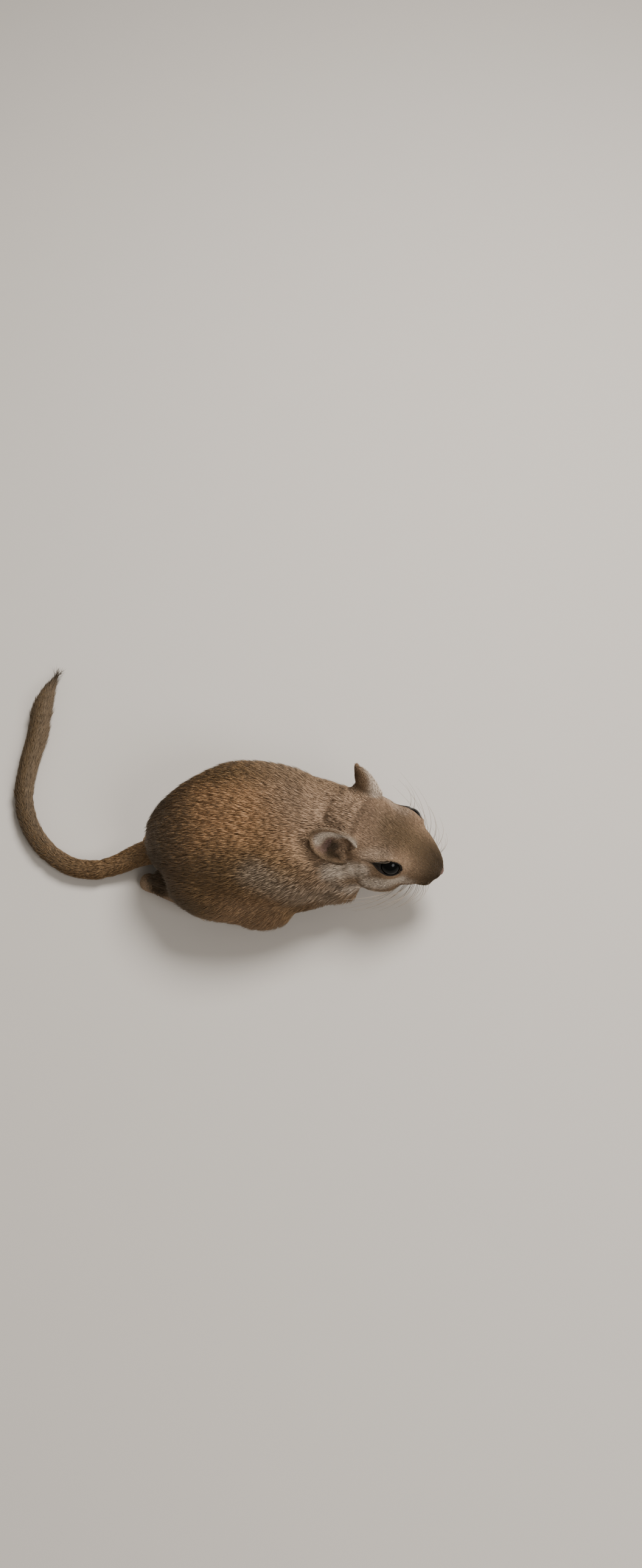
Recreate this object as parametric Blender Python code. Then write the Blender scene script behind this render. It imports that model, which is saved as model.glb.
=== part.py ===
"""A life-size gerbil, crouching with its head turned to its right and its tail curled round behind it.

Metres, +Z up. The animal faces +X, its left side is +Y, and its feet and tail rest at z = 0.
"""

import math

import bmesh
import bpy
import numpy as np
from mathutils import Matrix, Vector

# Driving dimensions of the animal, fur included
MM = 0.001
BODY_LENGTH = 72 * MM
BODY_WIDTH = 54 * MM
BACK_HEIGHT = 48 * MM
HEAD_LENGTH = 43 * MM
HEAD_WIDTH = 29.5 * MM
HEAD_DEPTH = 25 * MM
EAR_LENGTH = 10.2 * MM
EAR_WIDTH = 10.8 * MM
EYE_RADIUS = 3.9 * MM
HIND_FOOT_LENGTH = 27 * MM
FORE_FOOT_LENGTH = 9 * MM
TAIL_RADIUS = 4.1 * MM

# The space that neighbouring pieces keep, and how far feet and tail sink below the floor before it trims them
GAP = 0.35 * MM
FLAT_DEPTH = 0.35 * MM

# How finely the flesh is drawn, and how many triangles its pieces keep
BODY_VOXEL = 1.0 * MM
FACE_VOXEL = 0.55 * MM
BODY_TRIANGLES = 2600
HEAD_TRIANGLES = 2100
HIND_FOOT_TRIANGLES = 640
FORE_FOOT_TRIANGLES = 440
EAR_TRIANGLES = 620

# Torso: share of length, share of half width, back and belly as shares of the back's height
RUMP_X = -36 * MM
TORSO_ROWS = (
    (0.00, 0.12, 0.54, 0.38),
    (0.03, 0.34, 0.66, 0.27),
    (0.10, 0.55, 0.79, 0.16),
    (0.19, 0.73, 0.89, 0.09),
    (0.30, 0.885, 0.96, 0.06),
    (0.42, 0.99, 1.00, 0.055),
    (0.55, 1.00, 0.985, 0.06),
    (0.67, 0.965, 0.94, 0.08),
    (0.79, 0.88, 0.86, 0.12),
    (0.90, 0.72, 0.77, 0.20),
    (0.97, 0.48, 0.67, 0.30),
    (1.00, 0.16, 0.57, 0.42),
)
TORSO_SHIFT_Y = 1.0 * MM

# Head: its place, turn and dip, then share of length, share of half width, crown and chin as shares of the depth
HEAD_PLACE = Vector((38.3, 1.8, 28.5)) * MM
HEAD_TURN = math.radians(-24)
HEAD_DIP = math.radians(9)
HEAD_ROLL = math.radians(-4)
HEAD_BACK_X = -11 * MM
HEAD_ROWS = (
    (0.00, 0.86, 0.44, -0.46),
    (0.12, 0.94, 0.47, -0.50),
    (0.25, 0.99, 0.48, -0.53),
    (0.38, 1.00, 0.475, -0.54),
    (0.50, 0.97, 0.445, -0.52),
    (0.61, 0.90, 0.40, -0.49),
    (0.71, 0.79, 0.335, -0.455),
    (0.80, 0.66, 0.26, -0.40),
    (0.88, 0.50, 0.175, -0.335),
    (0.94, 0.365, 0.09, -0.275),
    (0.985, 0.21, 0.0, -0.215),
    (1.00, 0.08, -0.07, -0.165),
)

# Places in the head's own frame, on its left side
EYE_PLACE = Vector((14.0, 9.0, 4.8)) * MM
EYE_OUT = Vector((0.24, 0.80, 0.55))
EYE_WINDOW = Vector((4.3, 3.2, 3.45)) * MM
LID_THICKNESS = 0.7 * MM
EAR_PLACES = {"left": Vector((-5.5, 8.4, 7.5)) * MM, "right": Vector((-6.0, 11.2, 6.4)) * MM}
EAR_AXES = {"left": Vector((-0.28, 0.48, 0.62)), "right": Vector((-0.70, 0.44, 0.56))}
EAR_FACINGS = {"left": Vector((0.44, 0.86, 0.22)), "right": Vector((0.42, 0.66, 0.60))}
EAR_SHEET = 0.9 * MM
CHEEK_PLACE = Vector((9.0, 8.9, -5.6)) * MM
CHEEK_SIZE = Vector((12.0, 7.8, 7.8)) * MM
BROW_PLACE = Vector((12.5, 6.8, 5.9)) * MM
BROW_SIZE = Vector((5.8, 3.6, 3.6)) * MM
WHISKER_PAD_PLACE = Vector((25.2, 4.0, -4.3)) * MM
WHISKER_PAD_SIZE = Vector((5.4, 3.5, 3.0)) * MM
NOSE_PLACE = Vector((31.0, 0.0, -2.7)) * MM
NOSE_SIZE = Vector((1.8, 2.2, 1.7)) * MM
NOSTRIL_PLACE = Vector((32.4, 1.25, -3.1)) * MM
NOSTRIL_SIZE = Vector((0.9, 0.42, 0.75)) * MM
MOUTH_LINE = (
    Vector((30.2, 0.0, -6.1)) * MM,
    Vector((29.0, 1.8, -6.8)) * MM,
    Vector((26.8, 3.5, -7.7)) * MM,
    Vector((24.2, 5.0, -8.6)) * MM,
)
LIP_RADIUS = 0.95 * MM
CHIN_SET_BACK = 0.9 * MM
MOUTH_GROOVE = 0.38 * MM
PHILTRUM = (Vector((32.6, 0.0, -3.7)) * MM, Vector((31.1, 0.0, -6.2)) * MM)

# Hind leg on the left, in the body's frame
THIGH_PLACES = {"left": Vector((-4.5, 14.0, 18.0)) * MM, "right": Vector((-7.0, 15.0, 18.0)) * MM}
THIGH_SIZE = Vector((22.0, 13.0, 16.5)) * MM
THIGH_DIP = math.radians(16)
KNEE_PLACE = Vector((4.5, 18.5, 13.0)) * MM
KNEE_SIZE = Vector((14.0, 11.0, 11.5)) * MM
HEEL_PLACE = Vector((-37.0, 8.0, 3.4)) * MM
HIND_TOE_TURN = math.radians(25)
HIND_TOES = (-0.95, -0.45, 0.0, 0.45, 1.0)
HIND_TOE_LENGTHS = (5.4, 8.0, 8.6, 8.2, 5.0)

# Fore leg on the left, and each paw where it stands
FLANK_PLACE = Vector((14.5, 14.5, 14.5)) * MM
FLANK_SIZE = Vector((17.0, 9.0, 10.5)) * MM
SHOULDER_PLACE = Vector((28.5, 10.5, 16.5)) * MM
SHOULDER_SIZE = Vector((13.5, 10.5, 12.5)) * MM
ELBOW_PLACE = Vector((23.0, 14.5, 10.0)) * MM
ELBOW_RADIUS = 6.0 * MM
PAW_PLACES = {"right": Vector((26.0, -11.0, 2.2)) * MM, "left": Vector((33.0, 9.0, 2.2)) * MM}
PAW_TURNS = {"right": math.radians(-8), "left": math.radians(0)}
FORE_TOES = (-0.9, -0.3, 0.3, 0.9)
FORE_TOE_LENGTHS = (3.6, 4.7, 4.7, 3.7)

# Tail: its line on the floor from the rump to the tip, and where it is parted
TAIL_LINE = (
    Vector((-29.0, 1.6, 13.5)) * MM,
    Vector((-35.0, 1.4, 9.8)) * MM,
    Vector((-41.5, 0.6, 6.4)) * MM,
    Vector((-48.5, -1.8, 4.4)) * MM,
    Vector((-56.5, -3.6, 3.8)) * MM,
    Vector((-66.0, -2.0, 3.7)) * MM,
    Vector((-75.5, 4.6, 3.7)) * MM,
    Vector((-82.5, 14.5, 3.7)) * MM,
    Vector((-85.8, 25.5, 3.7)) * MM,
    Vector((-85.6, 38.0, 3.7)) * MM,
    Vector((-83.8, 50.5, 3.8)) * MM,
    Vector((-83.2, 62.0, 3.8)) * MM,
    Vector((-81.6, 71.0, 3.4)) * MM,
    Vector((-79.2, 78.6, 2.4)) * MM,
)
TAIL_WIDTHS = (1.45, 1.28, 1.14, 1.02, 0.98, 0.96, 0.95, 0.94, 0.94, 0.95, 0.99, 0.96, 0.62, 0.16)
TAIL_PARTS = (0.0, 0.26, 0.43, 0.60, 0.80, 1.0)
TAIL_SAMPLES = 60

SIDES = {"left": 1, "right": -1}

COLOURS = {
    "coat_back": (0.34, 0.20, 0.10, 0.85),
    "coat_head": (0.36, 0.24, 0.14, 0.85),
    "coat_haunch": (0.38, 0.26, 0.15, 0.85),
    "coat_tail": (0.33, 0.22, 0.10, 0.85),
    "ear_skin": (0.42, 0.28, 0.23, 0.70),
    "foot_skin": (0.55, 0.40, 0.33, 0.70),
    "eye": (0.006, 0.005, 0.005, 0.08),
}


def clear_scene():
    for obj in list(bpy.data.objects):
        bpy.data.objects.remove(obj, do_unlink=True)


def material(name):
    """A plain matt finish, the last number being its roughness."""
    red, green, blue, roughness = COLOURS[name]
    made = bpy.data.materials.get(name) or bpy.data.materials.new(name)
    made.use_nodes = True
    shader = made.node_tree.nodes["Principled BSDF"]
    shader.inputs["Base Color"].default_value = (red, green, blue, 1.0)
    shader.inputs["Roughness"].default_value = roughness
    shader.inputs["Metallic"].default_value = 0.0
    return made


def add_object(name, mesh):
    obj = bpy.data.objects.new(name, mesh)
    bpy.context.scene.collection.objects.link(obj)
    return obj


def object_from_bmesh(name, bm):
    bmesh.ops.recalc_face_normals(bm, faces=bm.faces)
    mesh = bpy.data.meshes.new(name)
    bm.to_mesh(mesh)
    bm.free()
    return add_object(name, mesh)


def mirrored(vector, side):
    """A place on the left side, taken to the named side."""
    return Vector((vector.x, vector.y * SIDES[side], vector.z))


def apply_modifiers(obj):
    """Turns the modifiers of an object into its mesh."""
    graph = bpy.context.evaluated_depsgraph_get()
    mesh = bpy.data.meshes.new_from_object(obj.evaluated_get(graph))
    obj.modifiers.clear()
    obj.data = mesh
    return obj


def remove(*objects):
    for obj in objects:
        bpy.data.objects.remove(obj, do_unlink=True)


def smooth_rows(rows, count):
    """Rows of numbers read at even steps from a Catmull-Rom curve through them."""
    rows = np.array(rows, float)
    padded = np.vstack([2 * rows[0] - rows[1], rows, 2 * rows[-1] - rows[-2]])
    steps = np.linspace(0, len(rows) - 1, count)
    first = np.minimum(steps.astype(int), len(rows) - 2)
    t = (steps - first)[:, None]
    a, b, c, d = (padded[first + k] for k in range(4))
    bend = (2 * a - 5 * b + 4 * c - d) * t**2 + (3 * b - a - 3 * c + d) * t**3
    return (0.5 * (2 * b + (c - a) * t + bend)).tolist()


def loft(name, rings, frame=None):
    """A closed body through rings of points, each end closed by one face."""
    frame = frame or Matrix.Identity(4)
    bm = bmesh.new()
    made = [[bm.verts.new(frame @ Vector(point)) for point in ring] for ring in rings]
    for before, after in zip(made, made[1:]):
        for k in range(len(before)):
            nxt = (k + 1) % len(before)
            bm.faces.new((before[k], before[nxt], after[nxt], after[k]))
    bm.faces.new(made[0])
    bm.faces.new(reversed(made[-1]))
    return object_from_bmesh(name, bm)


def egg_section(x, y, half_width, top, bottom, segments=28):
    """A ring across the X axis whose upper and lower halves have their own heights."""
    middle = (top + bottom) / 2
    ring = []
    for k in range(segments):
        angle = 2 * math.pi * k / segments
        reach = (top - middle) if math.sin(angle) > 0 else (middle - bottom)
        ring.append(Vector((x, y + half_width * math.cos(angle), middle + reach * math.sin(angle))))
    return ring


def ellipsoid(name, centre, radii, turn=None, grow=0.0, segments=32):
    """A ball stretched to three radii. A turn is a rotation matrix about its centre."""
    bm = bmesh.new()
    bmesh.ops.create_uvsphere(bm, u_segments=segments, v_segments=segments // 2, radius=1.0)
    sizes = Matrix.Diagonal((radii[0] + grow, radii[1] + grow, radii[2] + grow, 1.0))
    place = Matrix.Translation(centre) @ (turn or Matrix.Identity(4)) @ sizes
    bmesh.ops.transform(bm, matrix=place, verts=bm.verts)
    return object_from_bmesh(name, bm)


def tube(name, line, radii, segments=14, frame=None, flatten=1.0):
    """A round bar along a line of points, with a radius for each point."""
    line = [Vector(point) for point in line]
    up = Vector((0, 0, 1))
    rings = []
    for k, point in enumerate(line):
        along = (line[min(k + 1, len(line) - 1)] - line[max(k - 1, 0)]).normalized()
        across = up.cross(along)
        across = across.normalized() if across.length > 1e-6 else Vector((0, 1, 0))
        raised = along.cross(across)
        angles = [2 * math.pi * s / segments for s in range(segments)]
        rings.append(
            [
                point + radii[k] * (across * math.cos(a) + raised * math.sin(a) * flatten)
                for a in angles
            ]
        )
    return loft(name, rings, frame)


def limb(name, line, radii, grow=0.0, steps=5, frame=None, flatten=1.0, segments=14):
    """A tube on a smooth line, with rounded ends past its first and last points."""
    rows = [(*point, radius + grow) for point, radius in zip(line, radii)]
    rows = smooth_rows(rows, steps * (len(rows) - 1) + 1)
    points, sizes = [Vector(row[:3]) for row in rows], [row[3] for row in rows]
    heads, head_sizes = [], []
    for angle in (80, 55, 28):
        back = math.radians(angle)
        heads.append(points[0] + (points[0] - points[1]).normalized() * sizes[0] * math.sin(back))
        head_sizes.append(sizes[0] * math.cos(back))
    tails, tail_sizes = [], []
    for angle in (28, 55, 80):
        on = math.radians(angle)
        tails.append(points[-1] + (points[-1] - points[-2]).normalized() * sizes[-1] * math.sin(on))
        tail_sizes.append(sizes[-1] * math.cos(on))
    return tube(
        name, heads + points + tails, head_sizes + sizes + tail_sizes, segments, frame, flatten
    )


def block(name, low, high, frame=None):
    """A box between two corners."""
    bm = bmesh.new()
    bmesh.ops.create_cube(bm, size=1.0)
    sizes = Matrix.Diagonal((*(high - low), 1.0))
    place = (frame or Matrix.Identity(4)) @ Matrix.Translation((low + high) / 2) @ sizes
    bmesh.ops.transform(bm, matrix=place, verts=bm.verts)
    return object_from_bmesh(name, bm)


def combine(obj, other, operation, solver="EXACT"):
    """One Boolean between two closed bodies, applied, with the second one then removed."""
    modifier = obj.modifiers.new("combine", "BOOLEAN")
    modifier.operation = operation
    modifier.object = other
    modifier.solver = solver
    apply_modifiers(obj)
    remove(other)
    return keep_largest(obj)


def unite(name, pieces):
    """One Boolean union of several closed bodies."""
    group = bpy.data.collections.new(name + "_pieces")
    for piece in pieces[1:]:
        group.objects.link(piece)
    first = pieces[0]
    modifier = first.modifiers.new("unite", "BOOLEAN")
    modifier.operation = "UNION"
    modifier.operand_type = "COLLECTION"
    modifier.collection = group
    modifier.solver = "EXACT"
    apply_modifiers(first)
    remove(*pieces[1:])
    bpy.data.collections.remove(group)
    first.name = name
    return keep_largest(first)


def keep_largest(obj):
    """Leaves only the largest closed surface of a mesh."""
    bm = bmesh.new()
    bm.from_mesh(obj.data)
    bmesh.ops.triangulate(bm, faces=bm.faces)
    unseen = set(bm.verts)
    islands = []
    while unseen:
        edge_of = [unseen.pop()]
        island = set(edge_of)
        while edge_of:
            for edge in edge_of.pop().link_edges:
                for vert in edge.verts:
                    if vert in unseen:
                        unseen.discard(vert)
                        island.add(vert)
                        edge_of.append(vert)
        islands.append(island)

    def volume(island):
        faces = {face for vert in island for face in vert.link_faces}
        return abs(
            sum(f.verts[0].co.dot(f.verts[1].co.cross(f.verts[2].co)) for f in faces)
        )

    largest = max(islands, key=volume)
    loose = [vert for vert in bm.verts if vert not in largest]
    bmesh.ops.delete(bm, geom=loose, context="VERTS")
    bm.to_mesh(obj.data)
    bm.free()
    return obj


def fuse(name, pieces, voxel, smoothing):
    """Bodies grown together into one skin, the creases between them filled by smoothing."""
    bm = bmesh.new()
    for piece in pieces:
        bm.from_mesh(piece.data)
    obj = object_from_bmesh(name, bm)
    remove(*pieces)
    remesh = obj.modifiers.new("grow_together", "REMESH")
    remesh.mode = "VOXEL"
    remesh.voxel_size = voxel
    smooth = obj.modifiers.new("soften", "SMOOTH")
    smooth.factor = 0.5
    smooth.iterations = smoothing
    return apply_modifiers(obj)


def thin_out(obj, triangles):
    """Fewer faces, with the same form."""
    modifier = obj.modifiers.new("thin_out", "DECIMATE")
    modifier.ratio = min(1.0, triangles / len(obj.data.polygons))
    modifier.use_collapse_triangulate = True
    return apply_modifiers(obj)


def head_frame():
    turn = Matrix.Rotation(HEAD_TURN, 4, "Z") @ Matrix.Rotation(HEAD_DIP, 4, "Y")
    return Matrix.Translation(HEAD_PLACE) @ turn @ Matrix.Rotation(HEAD_ROLL, 4, "X")


def torso():
    rings = []
    for share, width, back, belly in smooth_rows(TORSO_ROWS, 36):
        x = RUMP_X + share * BODY_LENGTH
        half = width * BODY_WIDTH / 2
        rings.append(
            egg_section(x, TORSO_SHIFT_Y, half, back * BACK_HEIGHT, belly * BACK_HEIGHT)
        )
    return loft("torso_form", rings)


def skull():
    rings = []
    for share, width, crown, chin in smooth_rows(HEAD_ROWS, 40):
        x = HEAD_BACK_X + share * HEAD_LENGTH
        half = width * HEAD_WIDTH / 2
        rings.append(egg_section(x, 0.0, half, crown * HEAD_DEPTH, chin * HEAD_DEPTH))
    return loft("skull_form", rings, head_frame())


def neck():
    shoulders = Vector((11.0, 2.0, 21.0)) * MM
    throat = Vector((27.5, 3.6, 21.2)) * MM
    radii = [23 * MM, 19.6 * MM, 13.5 * MM]
    return limb("neck_form", [shoulders, throat, HEAD_PLACE], radii, segments=28)


def face_forms():
    """The soft forms that stand out from the skull: cheeks, brows, whisker pads, nose and lips."""
    frame = head_frame()
    turn = frame.to_3x3().to_4x4()
    forms = [ellipsoid("nose_form", frame @ NOSE_PLACE, NOSE_SIZE, turn)]
    for side in SIDES:
        for place, size in (
            (CHEEK_PLACE, CHEEK_SIZE),
            (BROW_PLACE, BROW_SIZE),
            (WHISKER_PAD_PLACE, WHISKER_PAD_SIZE),
        ):
            forms.append(ellipsoid("face_form", frame @ mirrored(place, side), size, turn))
        line = [mirrored(point, side) for point in MOUTH_LINE]
        for lift, back in ((0.75, 0.0), (-0.75, CHIN_SET_BACK)):
            lip = [point + Vector((-back, 0, lift * LIP_RADIUS)) for point in line]
            forms.append(limb("lip_form", lip, [LIP_RADIUS] * len(lip), frame=frame))
        eye = frame @ mirrored(EYE_PLACE, side)
        lid = EYE_RADIUS + GAP + LID_THICKNESS
        forms.append(ellipsoid("lid_form", eye, (lid, lid, lid), turn))
    return forms


def hind_foot_line(side):
    """The heel, the instep and the ball of the foot."""
    turn = Matrix.Rotation(HIND_TOE_TURN * SIDES[side], 3, "Z")
    heel = mirrored(HEEL_PLACE, side)
    instep = heel + turn @ (Vector((0.40, 0, 0)) * HIND_FOOT_LENGTH) + Vector((0, 0, -0.7 * MM))
    ball = heel + turn @ (Vector((0.66, 0, 0)) * HIND_FOOT_LENGTH) + Vector((0, 0, -1.3 * MM))
    return [heel, instep, ball]


def hind_leg_forms(side):
    heel = hind_foot_line(side)[0]
    knee = mirrored(KNEE_PLACE, side)
    turn = Matrix.Rotation(THIGH_DIP, 4, "Y")
    ankle = heel + Vector((4.5, 0.5 * SIDES[side], 3.6)) * MM
    shank = [knee, knee.lerp(ankle, 0.5) + Vector((0, 0, 1.5 * MM)), ankle]
    return [
        ellipsoid("thigh_form", mirrored(THIGH_PLACES[side], side), THIGH_SIZE, turn),
        ellipsoid("knee_form", knee, KNEE_SIZE),
        limb("shank_form", shank, [7.0 * MM, 6.0 * MM, 4.2 * MM]),
    ]


def fore_leg_forms(side):
    elbow = mirrored(ELBOW_PLACE, side)
    flank = mirrored(FLANK_PLACE, side)
    wrist = PAW_PLACES[side] + Vector((0, 0, 1.8 * MM))
    forearm = [elbow, elbow.lerp(wrist, 0.55) + Vector((0, 0, 0.6 * MM)), wrist]
    return [
        ellipsoid("flank_form", flank, FLANK_SIZE),
        ellipsoid("shoulder_form", mirrored(SHOULDER_PLACE, side), SHOULDER_SIZE),
        limb("forearm_form", forearm, [ELBOW_RADIUS, 4.0 * MM, 2.9 * MM]),
    ]


def foot(name, line, radii, toes, toe_lengths, toe_radius, turn, spread):
    """A flat foot with its toes and claws, joined into one body."""
    pieces = [limb(name + "_sole", line, radii, flatten=0.8)]
    heading = Matrix.Rotation(turn, 3, "Z")
    ball = line[-1]
    for place, length in zip(toes, toe_lengths):
        fan = Matrix.Rotation(turn + spread * place, 3, "Z")
        root = ball + heading @ Vector((-0.6 * MM, place * radii[-1] * 0.72, 0))
        root.z = toe_radius
        on = fan @ Vector((length * MM, 0, 0))
        knuckle = root + 0.5 * on + Vector((0, 0, 0.45 * MM))
        tip = root + on
        widths = [toe_radius * 1.05, toe_radius, toe_radius * 0.72]
        pieces.append(limb(name + "_toe", [root, knuckle, tip], widths, steps=3, segments=8))
        claw_root = tip - on.normalized() * 0.4 * MM + Vector((0, 0, 0.25 * MM))
        claw_tip = tip + on.normalized() * 2.1 * MM + Vector((0, 0, -0.45 * MM))
        claw_middle = claw_root.lerp(claw_tip, 0.55) + Vector((0, 0, 0.35 * MM))
        sizes = [0.5 * MM, 0.38 * MM, 0.14 * MM]
        claw = [claw_root, claw_middle, claw_tip]
        pieces.append(limb(name + "_claw", claw, sizes, steps=2, segments=6))
    return unite(name, pieces)


def trim_to_floor(obj):
    """Cuts off what lies below the floor, which leaves the flats that the animal rests on."""
    reach = 200 * MM
    below = block("below_floor", Vector((-reach, -reach, -reach)), Vector((reach, reach, 0)))
    return combine(obj, below, "DIFFERENCE")


def hind_foot(side):
    line = hind_foot_line(side)
    radii = [3.6 * MM, 3.2 * MM, 3.5 * MM]
    sink = Vector((0, 0, -FLAT_DEPTH))
    line = [Vector((p.x, p.y, r * 0.8)) + sink for p, r in zip(line, radii)]
    made = foot(
        f"hind_foot_{side}", line, radii, HIND_TOES, HIND_TOE_LENGTHS, 1.15 * MM,
        HIND_TOE_TURN * SIDES[side], math.radians(13),
    )
    return trim_to_floor(thin_out(made, HIND_FOOT_TRIANGLES))


def hind_foot_room(side):
    """The room that a hind foot needs in the leg above it."""
    radii = [3.6 * MM, 3.2 * MM, 3.5 * MM]
    line = [Vector((p.x, p.y, r * 0.8 - FLAT_DEPTH)) for p, r in zip(hind_foot_line(side), radii)]
    return limb("foot_room", line, radii, grow=GAP, flatten=0.8)


def fore_foot_line(side):
    place = PAW_PLACES[side]
    turn = Matrix.Rotation(PAW_TURNS[side], 3, "Z")
    return [place, place + turn @ Vector((0.42 * FORE_FOOT_LENGTH, 0, -0.3 * MM))]


def fore_foot(side):
    radii = [2.6 * MM, 2.5 * MM]
    sink = Vector((0, 0, -FLAT_DEPTH))
    line = [Vector((p.x, p.y, r * 0.8)) + sink for p, r in zip(fore_foot_line(side), radii)]
    made = foot(
        f"fore_foot_{side}", line, radii, FORE_TOES, FORE_TOE_LENGTHS, 0.9 * MM,
        PAW_TURNS[side], math.radians(17),
    )
    return trim_to_floor(thin_out(made, FORE_FOOT_TRIANGLES))


def fore_foot_room(side):
    radii = [2.6 * MM, 2.5 * MM]
    line = [Vector((p.x, p.y, r * 0.8 - FLAT_DEPTH)) for p, r in zip(fore_foot_line(side), radii)]
    return limb("foot_room", line, radii, grow=GAP, flatten=0.8)


def tail_rows():
    """Points and radii at even steps along the whole tail."""
    rows = [(*point, width * TAIL_RADIUS) for point, width in zip(TAIL_LINE, TAIL_WIDTHS)]
    return smooth_rows(rows, TAIL_SAMPLES + 1)


def tail_part(number):
    """One length of the tail, its ends cut square and kept clear of the next length."""
    rows = tail_rows()
    first = round(TAIL_PARTS[number] * TAIL_SAMPLES)
    last = round(TAIL_PARTS[number + 1] * TAIL_SAMPLES)
    rows = rows[first : last + 1]
    points, radii = [Vector(row[:3]) for row in rows], [row[3] for row in rows]
    if number > 0:
        points[0] += (points[1] - points[0]).normalized() * GAP
    if last == TAIL_SAMPLES:
        points.append(points[-1] + (points[-1] - points[-2]).normalized() * 0.9 * MM)
        radii.append(0.2 * MM)
    made = tube(f"tail_{number + 1}", points, radii, segments=16)
    return trim_to_floor(made)


def tail_room():
    """The room for the tail's root in the rump."""
    rows = tail_rows()[: round(0.3 * TAIL_SAMPLES)]
    start = Vector(rows[0][:3]) - Vector(rows[1][:3])
    points = [Vector(rows[0][:3]) + start.normalized() * GAP] + [Vector(row[:3]) for row in rows[1:]]
    return tube("tail_room", points, [row[3] + GAP for row in rows], segments=24)


def swollen(body):
    """A copy of a body grown by the gap, to cut its neighbours clear of it."""
    copy = add_object("swollen", body.data.copy())
    grow = copy.modifiers.new("grow", "DISPLACE")
    grow.strength = GAP
    grow.mid_level = 0.0
    return apply_modifiers(copy)


def ear(side, flesh):
    """A thin cup, open outwards and a little forwards and up, its root cut to the head."""
    turn = head_frame().to_3x3()
    axis = (turn @ mirrored(EAR_AXES[side], side)).normalized()
    facing = turn @ mirrored(EAR_FACINGS[side], side)
    facing = (facing - axis * facing.dot(axis)).normalized()
    across = axis.cross(facing)
    root_depth = 3.0 * MM
    root = head_frame() @ mirrored(EAR_PLACES[side], side) - axis * root_depth
    bm = bmesh.new()
    rows, columns = 14, 17
    grid = []
    for i in range(rows):
        share = i / (rows - 1)
        height = (EAR_LENGTH + root_depth) * share
        narrowing = math.sqrt(max(0.02, 1 - max(0.0, (share - 0.5) / 0.51) ** 2.4))
        half = EAR_WIDTH / 2 * (0.8 + 0.2 * math.sin(math.pi / 2 * min(1.0, share / 0.6)))
        wrap = math.radians(140 - 78 * math.sin(math.pi / 2 * share))
        radius = half * narrowing / math.sin(min(wrap, math.pi / 2))
        row = []
        for j in range(columns):
            angle = wrap * (2 * j / (columns - 1) - 1)
            bow = radius * (1 - math.cos(angle)) - 1.5 * MM * share**2
            point = root + axis * height + across * radius * math.sin(angle) + facing * bow
            row.append(bm.verts.new(point))
        grid.append(row)
    for low, high in zip(grid, grid[1:]):
        for j in range(columns - 1):
            bm.faces.new((low[j], low[j + 1], high[j + 1], high[j]))
    obj = object_from_bmesh(f"ear_{side}", bm)
    sheet = obj.modifiers.new("thickness", "SOLIDIFY")
    sheet.thickness = EAR_SHEET
    sheet.offset = 0.0
    apply_modifiers(obj)
    combine(obj, swollen(flesh), "DIFFERENCE")
    return thin_out(obj, EAR_TRIANGLES)


def head_zone(grow=0.0):
    """The head as far back as the neck, a rounded form so that the shoulders stay outside it."""
    place = head_frame() @ (Vector((16.0, 0.0, 1.0)) * MM)
    turn = head_frame().to_3x3().to_4x4()
    return ellipsoid("head_zone", place, Vector((23.0, 19.5, 19.0)) * MM, turn, grow, 28)


def neck_zone(grow=0.0):
    """The collar behind the head."""
    place = head_frame() @ (Vector((3.0, 0.0, 0.0)) * MM)
    turn = head_frame().to_3x3().to_4x4()
    return ellipsoid("neck_zone", place, Vector((19.0, 21.0, 20.0)) * MM, turn, grow, 24)


def thigh_zone(side, grow=0.0):
    """The haunch as one rounded form round the hip and knee."""
    centre = mirrored(Vector((-8.0, 25.0, 13.0)) * MM, side)
    turn = Matrix.Rotation(THIGH_DIP, 4, "Y")
    return ellipsoid("thigh_zone", centre, Vector((24.2, 17.2, 19.2)) * MM, turn, grow, 24)


def fore_leg_zone(side, grow=0.0):
    centre = mirrored(Vector((28.5, 17.5, 6.0)) * MM, side)
    return ellipsoid("fore_leg_zone", centre, Vector((12.0, 11.0, 12.0)) * MM, None, grow, 22)


def part_from(flesh, name, zone):
    """The piece of the flesh inside a zone, as its own object."""
    piece = add_object(name, flesh.data.copy())
    return combine(piece, zone, "INTERSECT")


def carve_face(head):
    """Sockets, lid openings, nostrils and the line of the mouth."""
    frame = head_frame()
    turn = frame.to_3x3().to_4x4()
    for side in SIDES:
        eye = frame @ mirrored(EYE_PLACE, side)
        out = frame.to_3x3() @ mirrored(EYE_OUT, side).normalized()
        tilt = Matrix.Rotation(math.radians(34) * SIDES[side], 4, "X")
        window = ellipsoid("window", eye + out * 3.1 * MM, EYE_WINDOW, turn @ tilt, 0, 22)
        combine(head, window, "DIFFERENCE")
        socket = ellipsoid("socket", eye, (EYE_RADIUS + GAP,) * 3, turn, 0, 22)
        combine(head, socket, "DIFFERENCE")
        nostril = frame @ mirrored(NOSTRIL_PLACE, side)
        combine(head, ellipsoid("nostril", nostril, NOSTRIL_SIZE, turn, 0, 12), "DIFFERENCE")
    line = [mirrored(point, "right") for point in reversed(MOUTH_LINE[1:])] + list(MOUTH_LINE)
    line = [Vector((p.x + 0.25 * MM, p.y * 1.06, p.z)) for p in line]
    groove = limb("mouth", line, [MOUTH_GROOVE] * len(line), frame=frame, segments=8)
    combine(head, groove, "DIFFERENCE")
    split = limb("split_lip", PHILTRUM, [0.25 * MM, 0.32 * MM], frame=frame, segments=8)
    return combine(head, split, "DIFFERENCE")


def finish(obj, finish_name):
    obj.data.materials.clear()
    obj.data.materials.append(material(finish_name))
    obj.data.shade_smooth()
    obj.data.set_sharp_from_angle(angle=math.radians(50))
    return obj


def stand_at_origin(nodes):
    """Moves the whole animal so that the middle of its footprint is the origin."""
    corners = np.array([tuple(v.co) for obj in nodes for v in obj.data.vertices])
    middle = (corners.min(0) + corners.max(0)) / 2
    for obj in nodes:
        obj.data.transform(Matrix.Translation((-middle[0], -middle[1], 0)))


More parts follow.
